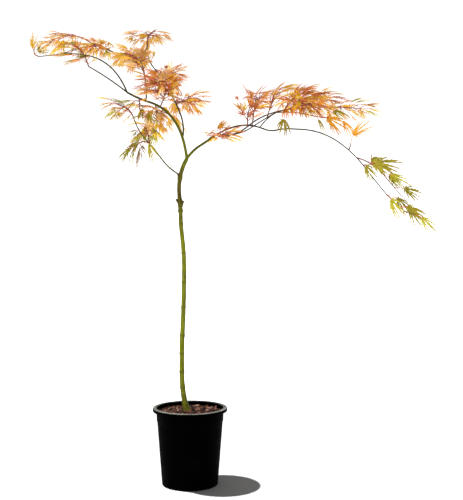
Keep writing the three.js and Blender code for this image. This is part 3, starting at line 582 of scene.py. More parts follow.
# %% Leaves along a twig, and a whole mass
def leaf_twig(twig, habit, draw, others, own, tries=4):
    """Opposite pairs along a twig, each turned from the last, and a leaf at its tip."""
    path, leaves = twig["path"], []

    def place(t, sideways):
        along = path.direction(t)
        for attempt in range(tries):
            way = turned(sideways, along, attempt * TRY_TURN)
            leaf = grow_leaf(path.at(t), along, way, habit, draw, others, own)
            if leaf:
                own.extend(leaf["rods"])
                leaves.append(leaf)
                return

    for pair in range(twig["pairs"]):
        t = lerp(twig["bare"], LAST_PAIR, pair / twig["pairs"])
        along = path.direction(t)
        turn = (pair % 2) * PAIR_TURN + draw(*PAIR_STRAY)
        sideways = turned(unit(np.cross(along, UP)), along, turn)
        stagger = STALK_STAGGER / path.length
        place(t + stagger, sideways)
        place(t - stagger, -sideways)
    along = path.direction(1)
    sideways = turned(unit(np.cross(along, UP)), along, draw(*TIP_STRAY))
    place(TIP_LEAF, sideways * TIP_OPENING)
    return leaves


def side_shoot(path, t, hand, lengths, turns, rises, draw):
    """A short path from t on another, to one hand of it; the ranges are in mm and degrees."""
    heading, rise = aim_of(path.direction(t))
    length = draw(*lengths)
    headings = [heading + hand * draw(*span) for span in turns]
    bends = [rise + draw(*span) for span in rises]
    return GrowthPath(path.at(t), length, headings, bends, SHOOT_JOINTS)


def twig_radius(twig):
    return lambda t: lerp(twig["base"], TWIG_TIP, t)


def grow_spray(spec, stem, others):
    """A foliage mass: its stem, its side twigs to either hand, and the leaves on all of them."""
    draw = seeded(spec["seed"])
    twigs = [{"path": stem, "pairs": spec["pairs"], "bare": spec["bare"], "base": TWIG_BASE}]
    for count in range(spec["twigs"]):
        t = lerp(spec["bare"] + TWIG_START, LAST_TWIG, count / spec["twigs"])
        path = side_shoot(
            stem, t, (count % 2) * 2 - 1, TWIG_LENGTHS, TWIG_TURNS, TWIG_RISES, draw)
        if not any(touches(rod, others, CLEAR) for rod in path.rods(lambda _: TWIG_BASE)[1:]):
            twigs.append({"path": path, "pairs": 1, "bare": TWIG_BARE,
                          "base": TWIG_BASE * TWIG_THINNER})
    own = []
    habit = dict(spec, low=CROWN_LOW, high=CROWN_HIGH,
                 clear=CLEAR, own_clear=OWN_CLEAR, lobe_room=LOBE_ROOM)
    leaves = [leaf for twig in twigs for leaf in leaf_twig(twig, habit, draw, others, own)]
    return {"twigs": twigs, "leaves": leaves, "habit": habit}


# %% Grow the masses
stems = {name: path_from(spec, max(2, math.floor(spec["length"] / TWIG_STEP + 0.5)))
         for name, spec in SPRAYS.items()}
stem_rods = {name: stem.rods(lambda _: TWIG_BASE) for name, stem in stems.items()}
taken = np.vstack([path.rods(limb_radius(name)) for name, path in paths.items()])
masses = {}
for name, spec in SPRAYS.items():
    others = np.vstack([taken] + [rods for other, rods in stem_rods.items() if other != name])
    mass = grow_spray(spec, stems[name], others)
    masses[name] = mass
    grown = [twig["path"].rods(twig_radius(twig)) for twig in mass["twigs"]]
    grown += [np.array(leaf["rods"]) for leaf in mass["leaves"]]
    taken = np.vstack([taken] + grown)
leaf_count = sum(len(mass["leaves"]) for mass in masses.values())
print(leaf_count, "leaves on", sum(len(mass["twigs"]) for mass in masses.values()), "twigs")

worst = 0.0
for name, mass in masses.items():
    low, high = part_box(name)
    tips = np.vstack([lobe_tips(leaf) for leaf in mass["leaves"]]) * MM
    over = max((np.array(low) - tips.min(0)).max(), (tips.max(0) - np.array(high)).max())
    worst = max(worst, over)
print("the farthest that a grown leaf point lies outside its CAD mass:", round(worst / MM, 3), "mm")

# %% [markdown]
# ## Fine shoots
# A real tassel has short side shoots between its main leaf pairs, with smaller leaves on them.
# They could be scattered over the mass, but then they'd hang from nothing, so the same rule grows
# them from the stem. A mass's box from the frame and the room kept to every neighbour hold each
# shoot inside the space of its own CAD solid.

# %% Grow the fine shoots
FINE_EVERY = 8.5  # mm of stem to one fine shoot
FINE_LENGTHS = (18.0, 42.0)
FINE_TURNS = [(35, 80), (20, 60)]  # degrees from the twig, where a shoot starts and at its tip
FINE_RISE, FINE_FALL = (-30, 40), -40  # degrees, and the tip falls further in a hanging mass
# Shares of a twig: how far before its leaves its shoots start, and their first and last places.
FINE_BEFORE, FINE_FIRST, FINE_LAST = 0.1, 0.05, 0.97
FINE_BASE, FINE_BARE, FINE_LEAF_SCALE = 0.8, 0.45, 0.82
FINE_EDGE = 3.0  # mm that a fine leaf may pass its mass's box, as a soft edge may
FINE_CLEAR, FINE_OWN_CLEAR, FINE_LOBE_ROOM, FINE_BAND = 0.6, -3.4, 2.4, 70
FINE_SEEDS = 4000  # added to a mass's own seed
NEAR_BOX = 130  # mm round a mass's box in which its neighbours are looked at

for name, mass in masses.items():
    spec = SPRAYS[name]
    low, high = (np.array(corner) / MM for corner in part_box(name))
    habit = dict(mass["habit"], scale=FINE_LEAF_SCALE, turn=0,
                 low=low - FINE_EDGE, high=high + FINE_EDGE, above=FINE_BAND, below=FINE_BAND,
                 clear=FINE_CLEAR, own_clear=FINE_OWN_CLEAR, lobe_room=FINE_LOBE_ROOM)
    mine = [twig["path"].rods(twig_radius(twig)) for twig in mass["twigs"]]
    own = [rod for leaf in mass["leaves"] for rod in leaf["rods"]]
    kept = {rod.tobytes() for rod in np.vstack(mine + [np.array(own)])}
    rest = np.array([rod for rod in taken if rod.tobytes() not in kept])
    rest = rest[(rest[:, 0] > low[0] - NEAR_BOX) & (rest[:, 0] < high[0] + NEAR_BOX)]
    rises = [FINE_RISE, (0, FINE_FALL * (1 + spec["hang"]))]
    draw = seeded(spec["seed"] + FINE_SEEDS)
    mass["fine_twigs"], mass["fine_leaves"] = [], []
    for twig in mass["twigs"]:
        room = 0 if spec["open"] else twig["path"].length * (1 - twig["bare"])
        count = round(room * spec["fine"] / FINE_EVERY)
        for shoot in range(count):
            first = max(twig["bare"] - FINE_BEFORE, FINE_FIRST)
            t = lerp(first, FINE_LAST, (shoot + 0.5) / count)
            path = side_shoot(
                twig["path"], t, (shoot % 2) * 2 - 1, FINE_LENGTHS, FINE_TURNS, rises, draw)
            if any(touches(rod, rest, FINE_CLEAR) for rod in path.rods(lambda _: FINE_BASE)[1:]):
                continue
            fine = {"path": path, "pairs": 1, "bare": FINE_BARE, "base": FINE_BASE}
            leaves = leaf_twig(fine, habit, draw, rest, own, tries=3)
            if leaves:
                mass["fine_twigs"].append(fine)
                mass["fine_leaves"] += leaves
    taken = np.vstack([taken] + [np.array(leaf["rods"]) for leaf in mass["fine_leaves"]])
fine_count = sum(len(mass["fine_leaves"]) for mass in masses.values())
shoot_count = sum(len(mass["fine_twigs"]) for mass in masses.values())
print(fine_count, "smaller leaves on", shoot_count, "fine shoots")

# %% [markdown]
# ## Geometry Nodes helpers
# Leaves, stalks, twigs and bark chips repeat by the hundred, which is work for Geometry Nodes. A
# group is built in the script, set on an object once, and its result is kept as a plain mesh, so
# the finished piece carries no modifier.

# %% Geometry Nodes helpers
def geometry_group(name, inputs):
    return node_group(
        name, "GeometryNodeTree", {"Geometry": "Geometry", **inputs}, {"Geometry": "Geometry"})


def attribute(group, name, kind="FLOAT"):
    return add_node(
        group, "GeometryNodeInputNamedAttribute", {"Name": name}, data_type=kind
    ).outputs["Attribute"]


def circle(group, radius, sides):
    return add_node(
        group, "GeometryNodeCurvePrimitiveCircle", {"Radius": radius, "Resolution": sides})


def copies(group, points, shapes, index, rotation, scale):
    """One of a collection's shapes on each point."""
    shapes = add_node(group, "GeometryNodeCollectionInfo", {
        "Collection": shapes, "Separate Children": True, "Reset Children": True})
    return add_node(group, "GeometryNodeInstanceOnPoints", {
        "Points": points, "Instance": shapes, "Pick Instance": True, "Instance Index": index,
        "Rotation": rotation, "Scale": scale})


def end_group(group, way_out, geometry, finish):
    """Makes copies real, gives them their finish and passes them out."""
    real = add_node(group, "GeometryNodeRealizeInstances", {"Geometry": geometry})
    coated = add_node(group, "GeometryNodeSetMaterial", {"Geometry": real, "Material": finish})
    feed(group, way_out, {"Geometry": coated})


def kept_result(obj, group, values):
    """Runs a group on obj and keeps what it makes as obj's own plain mesh."""
    modifier = obj.modifiers.new(group.name, "NODES")
    modifier.node_group = group
    for socket in group.interface.items_tree:
        if socket.in_out == "INPUT" and socket.name in values:
            modifier[socket.identifier] = values[socket.name]
    graph = bpy.context.evaluated_depsgraph_get()
    made = bpy.data.meshes.new_from_object(
        obj.evaluated_get(graph), preserve_all_data_layers=True, depsgraph=graph)
    obj.modifiers.remove(modifier)
    obj.data = made


def collected(name, objects):
    collection = bpy.data.collections.new(name)
    for obj in objects:
        collection.objects.link(obj)
    return collection


def hidden_shapes(name, objects):
    """Shapes to copy from, kept out of the scene."""
    for obj in objects:
        bpy.context.scene.collection.objects.unlink(obj)
    return collected(name, objects)


print("helpers for Geometry Nodes ready")

# %% [markdown]
# ## Leaf blades
# The leaf is cut to its base into seven lobes, with a small lobe on either side of them, and each
# lobe is toothed and drawn out to a thin point. A picture of a leaf on a card would look flat from
# the side, so each blade is real faces in its own outline: two strips to a lobe, folded up a
# little from the rib, with the tips hanging. A handful of blades that differ slightly is enough,
# since each is turned, sized and widened by its own leaf.

# %% One blade
BLADE_LOBES = [0.5, 0.78, 0.95, 1.0, 0.95, 0.78, 0.5]
BLADE_STEP = 15.5  # degrees from one lobe to the next, when the leaf lies open
# Share of the lobe's length and half width for its edge: tooth, notch and so on to the point.
LOBE_EDGE = [
    (0.02, 0.010), (0.22, 0.036), (0.26, 0.024), (0.42, 0.050), (0.46, 0.028),
    (0.60, 0.040), (0.64, 0.024), (0.78, 0.027), (0.82, 0.013), (1.0, 0.0),
]
SMALL_LOBE_EDGE = [(0.05, 0.012), (0.45, 0.036), (0.52, 0.014), (1.0, 0.0)]
BLADE_VARIANTS, OPEN_BLADES = 14, 5  # the first few blades are the open, thin-lobed ones
BLADE_SEEDS = 700
# Degrees that each half hangs from the rib, how far the lobes lie open, and how slim they are.
OPEN_HABIT = ((4, 24), (0.68, 1.05), 0.8)
USUAL_HABIT = ((6, 38), (0.45, 0.9), 0.82)
BLADE_DROOPS, BLADE_FOLDS = (0.6, 1.2), (0.3, 0.8)
LOBE_STRAYS, LOBE_REACHES, LOBE_WIDTHS = (-4, 4), (0.88, 1.04), (0.85, 1.2)
SMALL_LOBE_ANGLES, SMALL_LOBE_REACHES = (66, 88), (0.24, 0.38)
LOBE_SWEEPS, SWEEP_INWARD = (-6, 6), 0.12  # degrees by which a lobe curves, and its bend inward


def write_layer(obj, name, values, kind="FLOAT"):
    """Writes a number or a vector on each point of a mesh."""
    field = "vector" if kind == "FLOAT_VECTOR" else "value"
    numbers = np.array(values, np.int32 if kind == "INT" else np.float32)
    obj.data.attributes.new(name, kind, "POINT").data.foreach_set(field, numbers.ravel())


def blade_mesh(variant):
    """A leaf one unit long that grows along +X with its face towards +Z."""
    draw = seeded(BLADE_SEEDS + variant)
    droop, fold = LEAF_DROOP * draw(*BLADE_DROOPS), draw(*BLADE_FOLDS)
    hinges, openings, slim = OPEN_HABIT if variant < OPEN_BLADES else USUAL_HABIT
    hinge, open_to = math.radians(draw(*hinges)), draw(*openings)
    lobes = [((3 - lobe) * BLADE_STEP * open_to + draw(*LOBE_STRAYS),
              reach * draw(*LOBE_REACHES), LOBE_EDGE) for lobe, reach in enumerate(BLADE_LOBES)]
    lobes += [(side * draw(*SMALL_LOBE_ANGLES), draw(*SMALL_LOBE_REACHES), SMALL_LOBE_EDGE)
              for side in (1, -1)]
    points, faces, reaches = [], [], []
    for angle, reach, edge in lobes:
        sweep = draw(*LOBE_SWEEPS) - angle * SWEEP_INWARD
        width = draw(*LOBE_WIDTHS) * slim
        start = len(points)
        for share, half in edge:
            turn = math.radians(angle + sweep * share)
            level = math.cos(hinge) * math.sin(turn)
            way = np.array([math.cos(turn), level, -math.sin(hinge) * abs(math.sin(turn))])
            side = np.array([-level, math.cos(turn), 0.0])
            rib = way * (share * reach) - UP * (droop * (share * reach) ** 2)
            for hand in (1, 0, -1):
                fold_up = UP * (fold * half * width * abs(hand))
                points.append(rib + side * (hand * half * width) + fold_up)
                reaches.append(share * reach)
        for row in range(len(edge) - 1):
            at, on = start + row * 3, start + row * 3 + 3
            if row < len(edge) - 2:
                faces += [(at, at + 1, on + 1, on), (at + 1, at + 2, on + 2, on + 1)]
            else:  # the lobe's point
                faces += [(at, at + 1, on + 1), (at + 1, at + 2, on + 1)]
    blade = mesh_object(f"blade_{variant:02d}", points, faces)
    write_layer(blade, "reach", reaches)
    write_layer(blade, "rib", [1.0 if i % 3 == 1 else 0.0 for i in range(len(points))])
    return blade


blades = [blade_mesh(variant) for variant in range(BLADE_VARIANTS)]
blade_shapes = hidden_shapes("blade_shapes", blades)
print(BLADE_VARIANTS, "blades of", len(blades[0].data.polygons), "faces")

# %% [markdown]
# ## Autumn tints
# Each tassel has turned on its own, so its leaves take one to four tints in turn. That is why the
# leaves are sorted into one piece for each tint, and every tint is one plain colour. Small
# mottling, a paler rib and redder points come from the shader, driven by how far along its lobe a
# point is.

# %% Tints
def linear(red, green, blue):
    """A screen colour, 0 to 255 a channel, as the linear colour that a shader takes."""
    def channel(value):
        value /= 255
        return value / 12.92 if value <= 0.04045 else ((value + 0.055) / 1.055) ** 2.4
    return (channel(red), channel(green), channel(blue), 1.0)


# The leaf colour, the colour of its points, and a finish name that the script doesn't use.
TINTS = {
    "gold": {"blade": linear(242, 194, 34), "points": linear(228, 146, 56), "slot": "leaf_gold"},
    "peach": {"blade": linear(250, 202, 120), "points": linear(238, 152, 112), "slot": "leaf_gold"},
    "amber": {"blade": linear(228, 158, 38), "points": linear(214, 116, 62), "slot": "leaf_orange"},
    "orange": {
        "blade": linear(228, 140, 40), "points": linear(210, 102, 62), "slot": "leaf_orange"},
    "coral": {"blade": linear(226, 128, 56), "points": linear(204, 84, 60), "slot": "leaf_rust"},
    "rust": {"blade": linear(198, 98, 26), "points": linear(176, 76, 46), "slot": "leaf_rust"},
    "brown": {"blade": linear(136, 92, 22), "points": linear(104, 60, 26), "slot": "leaf_rust"},
    "olive": {"blade": linear(162, 148, 36), "points": linear(166, 112, 52), "slot": "leaf_olive"},
    "lime": {"blade": linear(184, 174, 50), "points": linear(188, 132, 62), "slot": "leaf_olive"},
}

# %% Deal the leaves out by tassel
dealt = {tint: [] for tint in TINTS}
nodes_of = {tint: set() for tint in TINTS}
for name, mass in masses.items():
    tints = SPRAYS[name]["tints"].split()
    for count, leaf in enumerate(mass["leaves"] + mass["fine_leaves"]):
        tint = tints[count % len(tints)]
        dealt[tint].append(leaf)
        nodes_of[tint].add(name)
print({tint: len(leaves) for tint, leaves in dealt.items()})

# %% Place the blades
BLADE_LEVEL = 0.75  # a fine blade turns this share of its solid's roll back to level
OPEN_STRETCH = 1.15  # open blades reach further, because their points are so fine
FULL_SPREAD = 0.95  # the spread at which a blade keeps its own width
JUST_UNDER = 0.001  # keeps a drawn number from reaching the next whole one
TINT_SEEDS = 90

leaf_group, ways, way_out = geometry_group(
    "leaf_setter", {"Blades": "Collection", "Finish": "Material"})
rotation = add_node(
    leaf_group, "FunctionNodeAxesToRotation", {
        "Primary Axis": attribute(leaf_group, "forward", "FLOAT_VECTOR"),
        "Secondary Axis": attribute(leaf_group, "facing", "FLOAT_VECTOR"),
    }, primary_axis="X", secondary_axis="Z")
placed = copies(
    leaf_group, ways["Geometry"], ways["Blades"], attribute(leaf_group, "variant", "INT"),
    rotation, attribute(leaf_group, "leaf_size", "FLOAT_VECTOR"))
end_group(leaf_group, way_out, placed, ways["Finish"])


def leaf_points(name, leaves, seed):
    """A point for each leaf, carrying the way it grows, the way it faces, its size and shape."""
    draw = seeded(seed)
    obj = mesh_object(name, [leaf["base"] * MM for leaf in leaves])
    stretches = [OPEN_STRETCH if leaf["open"] else 1.0 for leaf in leaves]
    ranges = [(0, OPEN_BLADES) if leaf["open"] else (OPEN_BLADES, BLADE_VARIANTS)
              for leaf in leaves]
    write_layer(obj, "forward", [leaf["forward"] for leaf in leaves], "FLOAT_VECTOR")
    write_layer(obj, "facing", [
        turned(leaf["normal"], leaf["forward"], -BLADE_LEVEL * leaf["roll"]) for leaf in leaves
    ], "FLOAT_VECTOR")
    write_layer(obj, "leaf_size", [
        leaf["size"] * MM * np.array([1.0, leaf["spread"] / FULL_SPREAD, 1.0]) * stretch
        for leaf, stretch in zip(leaves, stretches)], "FLOAT_VECTOR")
    variants = [int(draw(first, end - JUST_UNDER)) for first, end in ranges]
    write_layer(obj, "variant", variants, "INT")
    write_layer(obj, "leaf_tone", [draw(0, 1) for _ in leaves])
    return obj


print("leaf setter of", len(leaf_group.nodes), "nodes")

# %% [markdown]
# ## Leaf finish
# A thin autumn blade is matt with a slight sheen on its upper face. The tint runs from the blade
# colour to the redder points, each leaf is a little lighter or darker than the next, fine noise
# breaks the colour, and the rib stands out paler. One shader node group makes those masks for
# every tint.

# %% Shader helpers
def maths(tree, operation, *values, clamp=False):
    return add_node(
        tree, "ShaderNodeMath", enumerate(values), operation=operation, use_clamp=clamp)


def grain(tree, scale, detail=3.0, roughness=0.55, stretch=(1, 1, 1)):
    """Noise on Object coordinates, as a value from about 0.2 to 0.8."""
    place = add_node(tree, "ShaderNodeTexCoord").outputs["Object"]
    stretched = add_node(tree, "ShaderNodeMapping", {"Vector": place, "Scale": stretch})
    return add_node(tree, "ShaderNodeTexNoise", {
        "Vector": stretched, "Scale": scale, "Detail": detail, "Roughness": roughness})


def between(tree, noise_value, low, high):
    """Spreads the usual range of a noise over low..high."""
    return ramp(tree, noise_value, 0.3, 0.7, low, high)


def layer_value(tree, name):
    return add_node(tree, "ShaderNodeAttribute", attribute_name=name).outputs["Fac"]


def blend(tree, amount, first, second):
    """A colour mix; each of the three is a value or a socket."""
    node = add_node(tree, "ShaderNodeMix", {"Factor": amount}, data_type="RGBA")
    coloured = [i for i, socket in enumerate(node.inputs) if socket.type == "RGBA"]
    feed(tree, node, dict(zip(coloured, (first, second))))
    return next(socket for socket in node.outputs if socket.type == "RGBA")


def tinge(tree, colour, mask, share, other):
    """Lets a share of another colour through where the mask is."""
    return blend(tree, maths(tree, "MULTIPLY", mask, share), colour, other)


def bumped(tree, height, distance, strength):
    return add_node(tree, "ShaderNodeBump", {
        "Height": height, "Distance": distance, "Strength": strength})


def surface(tree, colour, roughness, relief, specular=0.5):
    feed(tree, tree.nodes["Principled BSDF"], {
        "Base Color": colour, "Roughness": roughness, "Normal": relief,
        "Specular IOR Level": specular})


print("helpers for shaders ready")

# %% Leaf marking group
leaf_marks, ways, way_out = node_group(
    "leaf_marks", "ShaderNodeTree", {"Mottle Scale": 150.0, "Point Start": 0.5},
    {"Points": "Float", "Tone": "Float", "Rib": "Float", "Roughness": "Float", "Normal": "Vector"})
mottle = grain(leaf_marks, ways["Mottle Scale"], roughness=0.5)
past = maths(leaf_marks, "SUBTRACT", layer_value(leaf_marks, "reach"), ways["Point Start"])
uneven = maths(leaf_marks, "MULTIPLY_ADD", mottle, 0.9, -0.45)
redder = maths(leaf_marks, "MULTIPLY", maths(leaf_marks, "ADD", past, uneven), 1.8, clamp=True)
tone = ramp(leaf_marks, layer_value(leaf_marks, "leaf_tone"), 0.0, 1.0, 0.74, 1.12)
shade = between(leaf_marks, mottle, 0.88, 1.08)
rib = maths(leaf_marks, "POWER", layer_value(leaf_marks, "rib"), 6.0, clamp=True)
relief = maths(leaf_marks, "ADD", mottle, maths(leaf_marks, "MULTIPLY", rib, 0.8))
feed(leaf_marks, way_out, {
    "Points": redder, "Tone": maths(leaf_marks, "MULTIPLY", tone, shade), "Rib": rib,
    "Roughness": between(leaf_marks, mottle, 0.48, 0.68),
    "Normal": bumped(leaf_marks, relief, 0.0006, 0.7)})


def leaf_finish(tint):
    material, tree = blank_material(f"leaf_{tint}")
    marks = add_node(tree, "ShaderNodeGroup", node_tree=leaf_marks).outputs
    blade, points = TINTS[tint]["blade"], TINTS[tint]["points"]
    pale = tuple(min(1.0, channel * 1.25 + 0.03) for channel in blade[:3]) + (1.0,)
    colour = tinge(tree, blend(tree, marks["Points"], blade, points), marks["Rib"], 0.45, pale)
    toned = add_node(tree, "ShaderNodeHueSaturation", {"Color": colour, "Value": marks["Tone"]})
    surface(tree, toned, marks["Roughness"], marks["Normal"], 0.2)
    return material


print("leaf marks of", len(leaf_marks.nodes), "nodes")


# %% Make the leaf pieces
def triangles(obj):
    obj.data.calc_loop_triangles()
    return len(obj.data.loop_triangles)


leaf_pieces = []
for number, (tint, leaves) in enumerate(dealt.items()):
    piece = leaf_points(f"leaves_{tint}", leaves, TINT_SEEDS + number)
    kept_result(piece, leaf_group, {"Blades": blade_shapes, "Finish": leaf_finish(tint)})
    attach(piece, "root")
    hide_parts(*sorted(nodes_of[tint]))
    leaf_pieces.append(piece)
    print(piece.name, len(leaves), "leaves,", triangles(piece), "triangles")

# %% [markdown]
# ## Leaf stalks and twigs
# The stalks are thin, coral pink and a little arched, and the twigs dark red brown. Both are tubes
# along a path, which Curve to Mesh makes from a row of points that carry their own radius.

# %% Smooth lines through points
GOLDEN_STEP = 0.381966  # shares the tones of neighbouring lines out evenly


def smoothed(points, parts):
    """Points of a smooth line through the given ones, parts to each stretch between two."""
    padded = [2 * points[0] - points[1], *points, 2 * points[-1] - points[-2]]
    line = []
    for a, b, c, d in zip(padded, padded[1:], padded[2:], padded[3:]):
        for part in range(parts):
            t = part / parts
            line.append(0.5 * (2 * b + (c - a) * t + (2 * a - 5 * b + 4 * c - d) * t * t
                               + (3 * b - a - 3 * c + d) * t ** 3))
    return [*line, points[-1]]


def line_object(name, lines):
    """One mesh of open lines. Each line is its points, and radii spaced evenly along it, in mm."""
    points, edges, radii, tones = [], [], [], []
    for number, (line, thickness) in enumerate(lines):
        start, last = len(points), len(line) - 1
        points += [point * MM for point in line]
        radii += [value_along(thickness, i / last) * MM for i in range(len(line))]
        tones += [(number * GOLDEN_STEP) % 1.0] * len(line)
        edges += [(start + i, start + i + 1) for i in range(last)]
    obj = mesh_object(name, points, edges=edges)
    write_layer(obj, "thickness", radii)
    write_layer(obj, "leaf_tone", tones)
    return obj


tube_group, ways, way_out = geometry_group("tube_maker", {"Sides": "Int", "Finish": "Material"})
tube = add_node(tube_group, "GeometryNodeCurveToMesh", {
    "Curve": add_node(tube_group, "GeometryNodeMeshToCurve", {"Mesh": ways["Geometry"]}),
    "Profile Curve": circle(tube_group, 1.0, ways["Sides"]),
    "Scale": attribute(tube_group, "thickness"), "Fill Caps": True})
smooth_tube = add_node(tube_group, "GeometryNodeSetShadeSmooth", {"Geometry": tube})
end_group(tube_group, way_out, smooth_tube, ways["Finish"])
print("tube maker of", len(tube_group.nodes), "nodes")

# %% Stalks
STALK_RADII = [1.0, 0.72, 0.72, 0.85, 0.3]  # mm, from the twig to under the blade
STALK_ARCH, STALK_UNDER = 0.05, 0.06  # shares of the stalk's span and of the leaf's size


def stalk_line(leaf):
    """From the twig to the blade's base, arched a little and running in under the blade."""
    root, base = leaf["root"], leaf["base"]
    span = base - root
    arch = (leaf["way"] - leaf["forward"]) * (STALK_ARCH * float(np.linalg.norm(span)))
    inner = base + leaf["forward"] * (STALK_UNDER * leaf["size"]) - leaf["normal"] * 0.25
    return smoothed([root, root + span * 0.55 + arch, base, inner], 2), STALK_RADII


stalk_finish, tree = blank_material("stalk_coral")
tone = ramp(tree, layer_value(tree, "leaf_tone"), 0.0, 1.0)
colour = blend(tree, tone, linear(200, 78, 56), linear(170, 54, 38))
patch = ramp(tree, grain(tree, 60.0), 0.35, 0.65)
colour = tinge(tree, colour, patch, 0.45, linear(206, 116, 66))
surface(tree, colour, between(tree, grain(tree, 300.0), 0.4, 0.6),
        bumped(tree, grain(tree, 900.0), 0.0003, 0.5))

every_leaf = [leaf for mass in masses.values() for leaf in mass["leaves"] + mass["fine_leaves"]]
stalks = line_object("leaf_stalks", [stalk_line(leaf) for leaf in every_leaf])
kept_result(stalks, tube_group, {"Sides": 5, "Finish": stalk_finish})
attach(stalks, "root")
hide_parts(*SPRAYS)
print("stalks:", triangles(stalks), "triangles")

# %% Twigs
TWIG_END, FINE_ENDS = 0.9, [0.85, 0.5]  # mm, radii

twig_finish, tree = blank_material("twig_bark")
patch = ramp(tree, grain(tree, 45.0), 0.35, 0.65)
colour = blend(tree, patch, linear(92, 44, 28), linear(126, 62, 34))
dust = ramp(tree, grain(tree, 420.0, stretch=(1, 1, 0.4)), 0.58, 0.7)
colour = tinge(tree, colour, dust, 0.35, linear(150, 110, 80))
surface(tree, colour, between(tree, grain(tree, 200.0), 0.5, 0.75),
        bumped(tree, grain(tree, 500.0), 0.0005, 0.7))

twig_lines = []
for mass in masses.values():
    drawn = [(twig, [twig["base"], TWIG_END]) for twig in mass["twigs"]]
    drawn += [(twig, FINE_ENDS) for twig in mass["fine_twigs"]]
    twig_lines += [(smoothed(twig["path"].points, 3), radii) for twig, radii in drawn]
twigs = line_object("twigs", twig_lines)
kept_result(twigs, tube_group, {"Sides": 8, "Finish": twig_finish})
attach(twigs, "root")
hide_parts(*SPRAYS)
print("twigs:", len(twig_lines), "with", triangles(twigs), "triangles")

# %% [markdown]
# ## Stem and bough surface
# A young maple's bark is thin and smooth: green on the stem, with paler specks, faint streaks and
# a raised ring where each year's buds sat, and dull brown where it was grafted. The boughs are
# turning grey brown. Each limb is skinned with rings of points around its path, and the points
# are moved in and out by the rings and ridges, so the relief is real and not painted.

# %% Limb skin
STEM_COVER, BOUGH_COVER = 1.3, 0.05  # mm that the bark stands proud of the wood
GRAFT_LIP = 1.9
CAP_BULGES = (-0.25, 0.6)  # of the two ends, as a share of the radius


def turns_round(count):
    """Equal turns round a circle, in radians."""
    return [2 * math.pi * step / count for step in range(count)]


def frames_along(path, ts):
    """Two directions across the path at each t, carried along without twist."""
    across = []
    side = unit(np.cross(path.direction(ts[0]), np.array([0.3, 1.0, 0.2])))
    for t in ts:
        way = path.direction(t)
        side = unit(side - way * float(way @ side))
        across.append((side, np.cross(way, side)))
    return across


def limb_skin(path, radius_at, spacing, sides, relief, start=0.0):
    """Rings of points along a path, as points, faces and each point's share along it."""
    rings = max(8, round(path.length * (1 - start) / spacing))
    shares = [ring / rings for ring in range(rings + 1)]
    ts = [lerp(start, 1.0, share) for share in shares]
    points = []
    for t, (side, up) in zip(ts, frames_along(path, ts)):
        centre, radius = path.at(t), radius_at(t)
        for turn in turns_round(sides):
            out = side * math.cos(turn) + up * math.sin(turn)
            points.append(centre + out * (radius + relief(t, turn, centre + out * radius)))
    faces = grid_faces(len(ts), sides)
    for row, bulge in zip((0, rings), CAP_BULGES):
        middle, t = len(points), ts[row]
        points.append(path.at(t) + path.direction(t) * (bulge * radius_at(t)))
        for corner in range(sides):
            pair = (row * sides + corner, row * sides + (corner + 1) % sides)
            faces.append((*(pair if row else reversed(pair)), middle))
    return points, faces, [share for share in shares for _ in range(sides)] + [0.0, 1.0]


def bark_noise(place, size, depth):
    return noise.noise(Vector(place) / size) * depth


def trunk_relief(t, turn, place):
    """How far the stem's bark is raised, in mm."""
    height = t * TRUNK["length"]
    raised = STEM_COVER + bark_noise(place, 24, 0.28)
    # Fine ridges along the stem, and five faint flutes that wind slowly round it.
    raised += bark_noise((place[0], place[1], place[2] * 0.3), 3.2, 0.16)
    raised += 0.14 * math.sin(turn * 5 + height * 0.012)
    # Bud scars with a sharp lower lip.
    for ring in BUD_RINGS:
        raised += 0.5 * swell(height, ring + 0.8, 1.1) - 0.3 * swell(height, ring - 1.6, 0.9)
    # Lumps on the graft, its lip to two sides, and three roots that show at the foot.
    raised += bark_noise(place, 7, 1.3) * swell(height, GRAFT, 13)
    raised += GRAFT_LIP * (0.6 + 0.4 * math.cos(turn * 2)) * swell(height, GRAFT - 21, 3)
    raised += 0.6 * math.cos(turn * 3 + 0.6) * math.exp(-max(height, 0) / 9)
    return raised


def bough_relief(t, turn, place):
    return BOUGH_COVER + bark_noise(place, 11, 0.16) + bark_noise(place, 3, 0.07)


def face_outward(obj):
    """Turns every face of a closed mesh outward."""
    fixed = bmesh.new()
    fixed.from_mesh(obj.data)
    bmesh.ops.recalc_face_normals(fixed, faces=fixed.faces)
    fixed.to_mesh(obj.data)
    fixed.free()


def skin_object(name, skins):
    """Joins skins into one mesh with each point's age, from green to grey brown."""
    points, faces, ages = [], [], []
    for skin_points, skin_faces, shares, age in skins:
        start = len(points)
        points += [point * MM for point in skin_points]
        faces += [tuple(start + corner for corner in face) for face in skin_faces]
        ages += [value_along(age, share) for share in shares]
    obj = mesh_object(name, points, faces)
    write_layer(obj, "age", ages)
    face_outward(obj)
    return obj


print("limb skins ready")

# %% [markdown]
# ## Bark finish
# The bark is one recipe at two ages, so the streaks, specks and bump are a shader node group, and
# the stem and the boughs each feed it their own sizes. How green or grey a place is comes from
# the age written on the mesh, which follows the limb and can't slide.

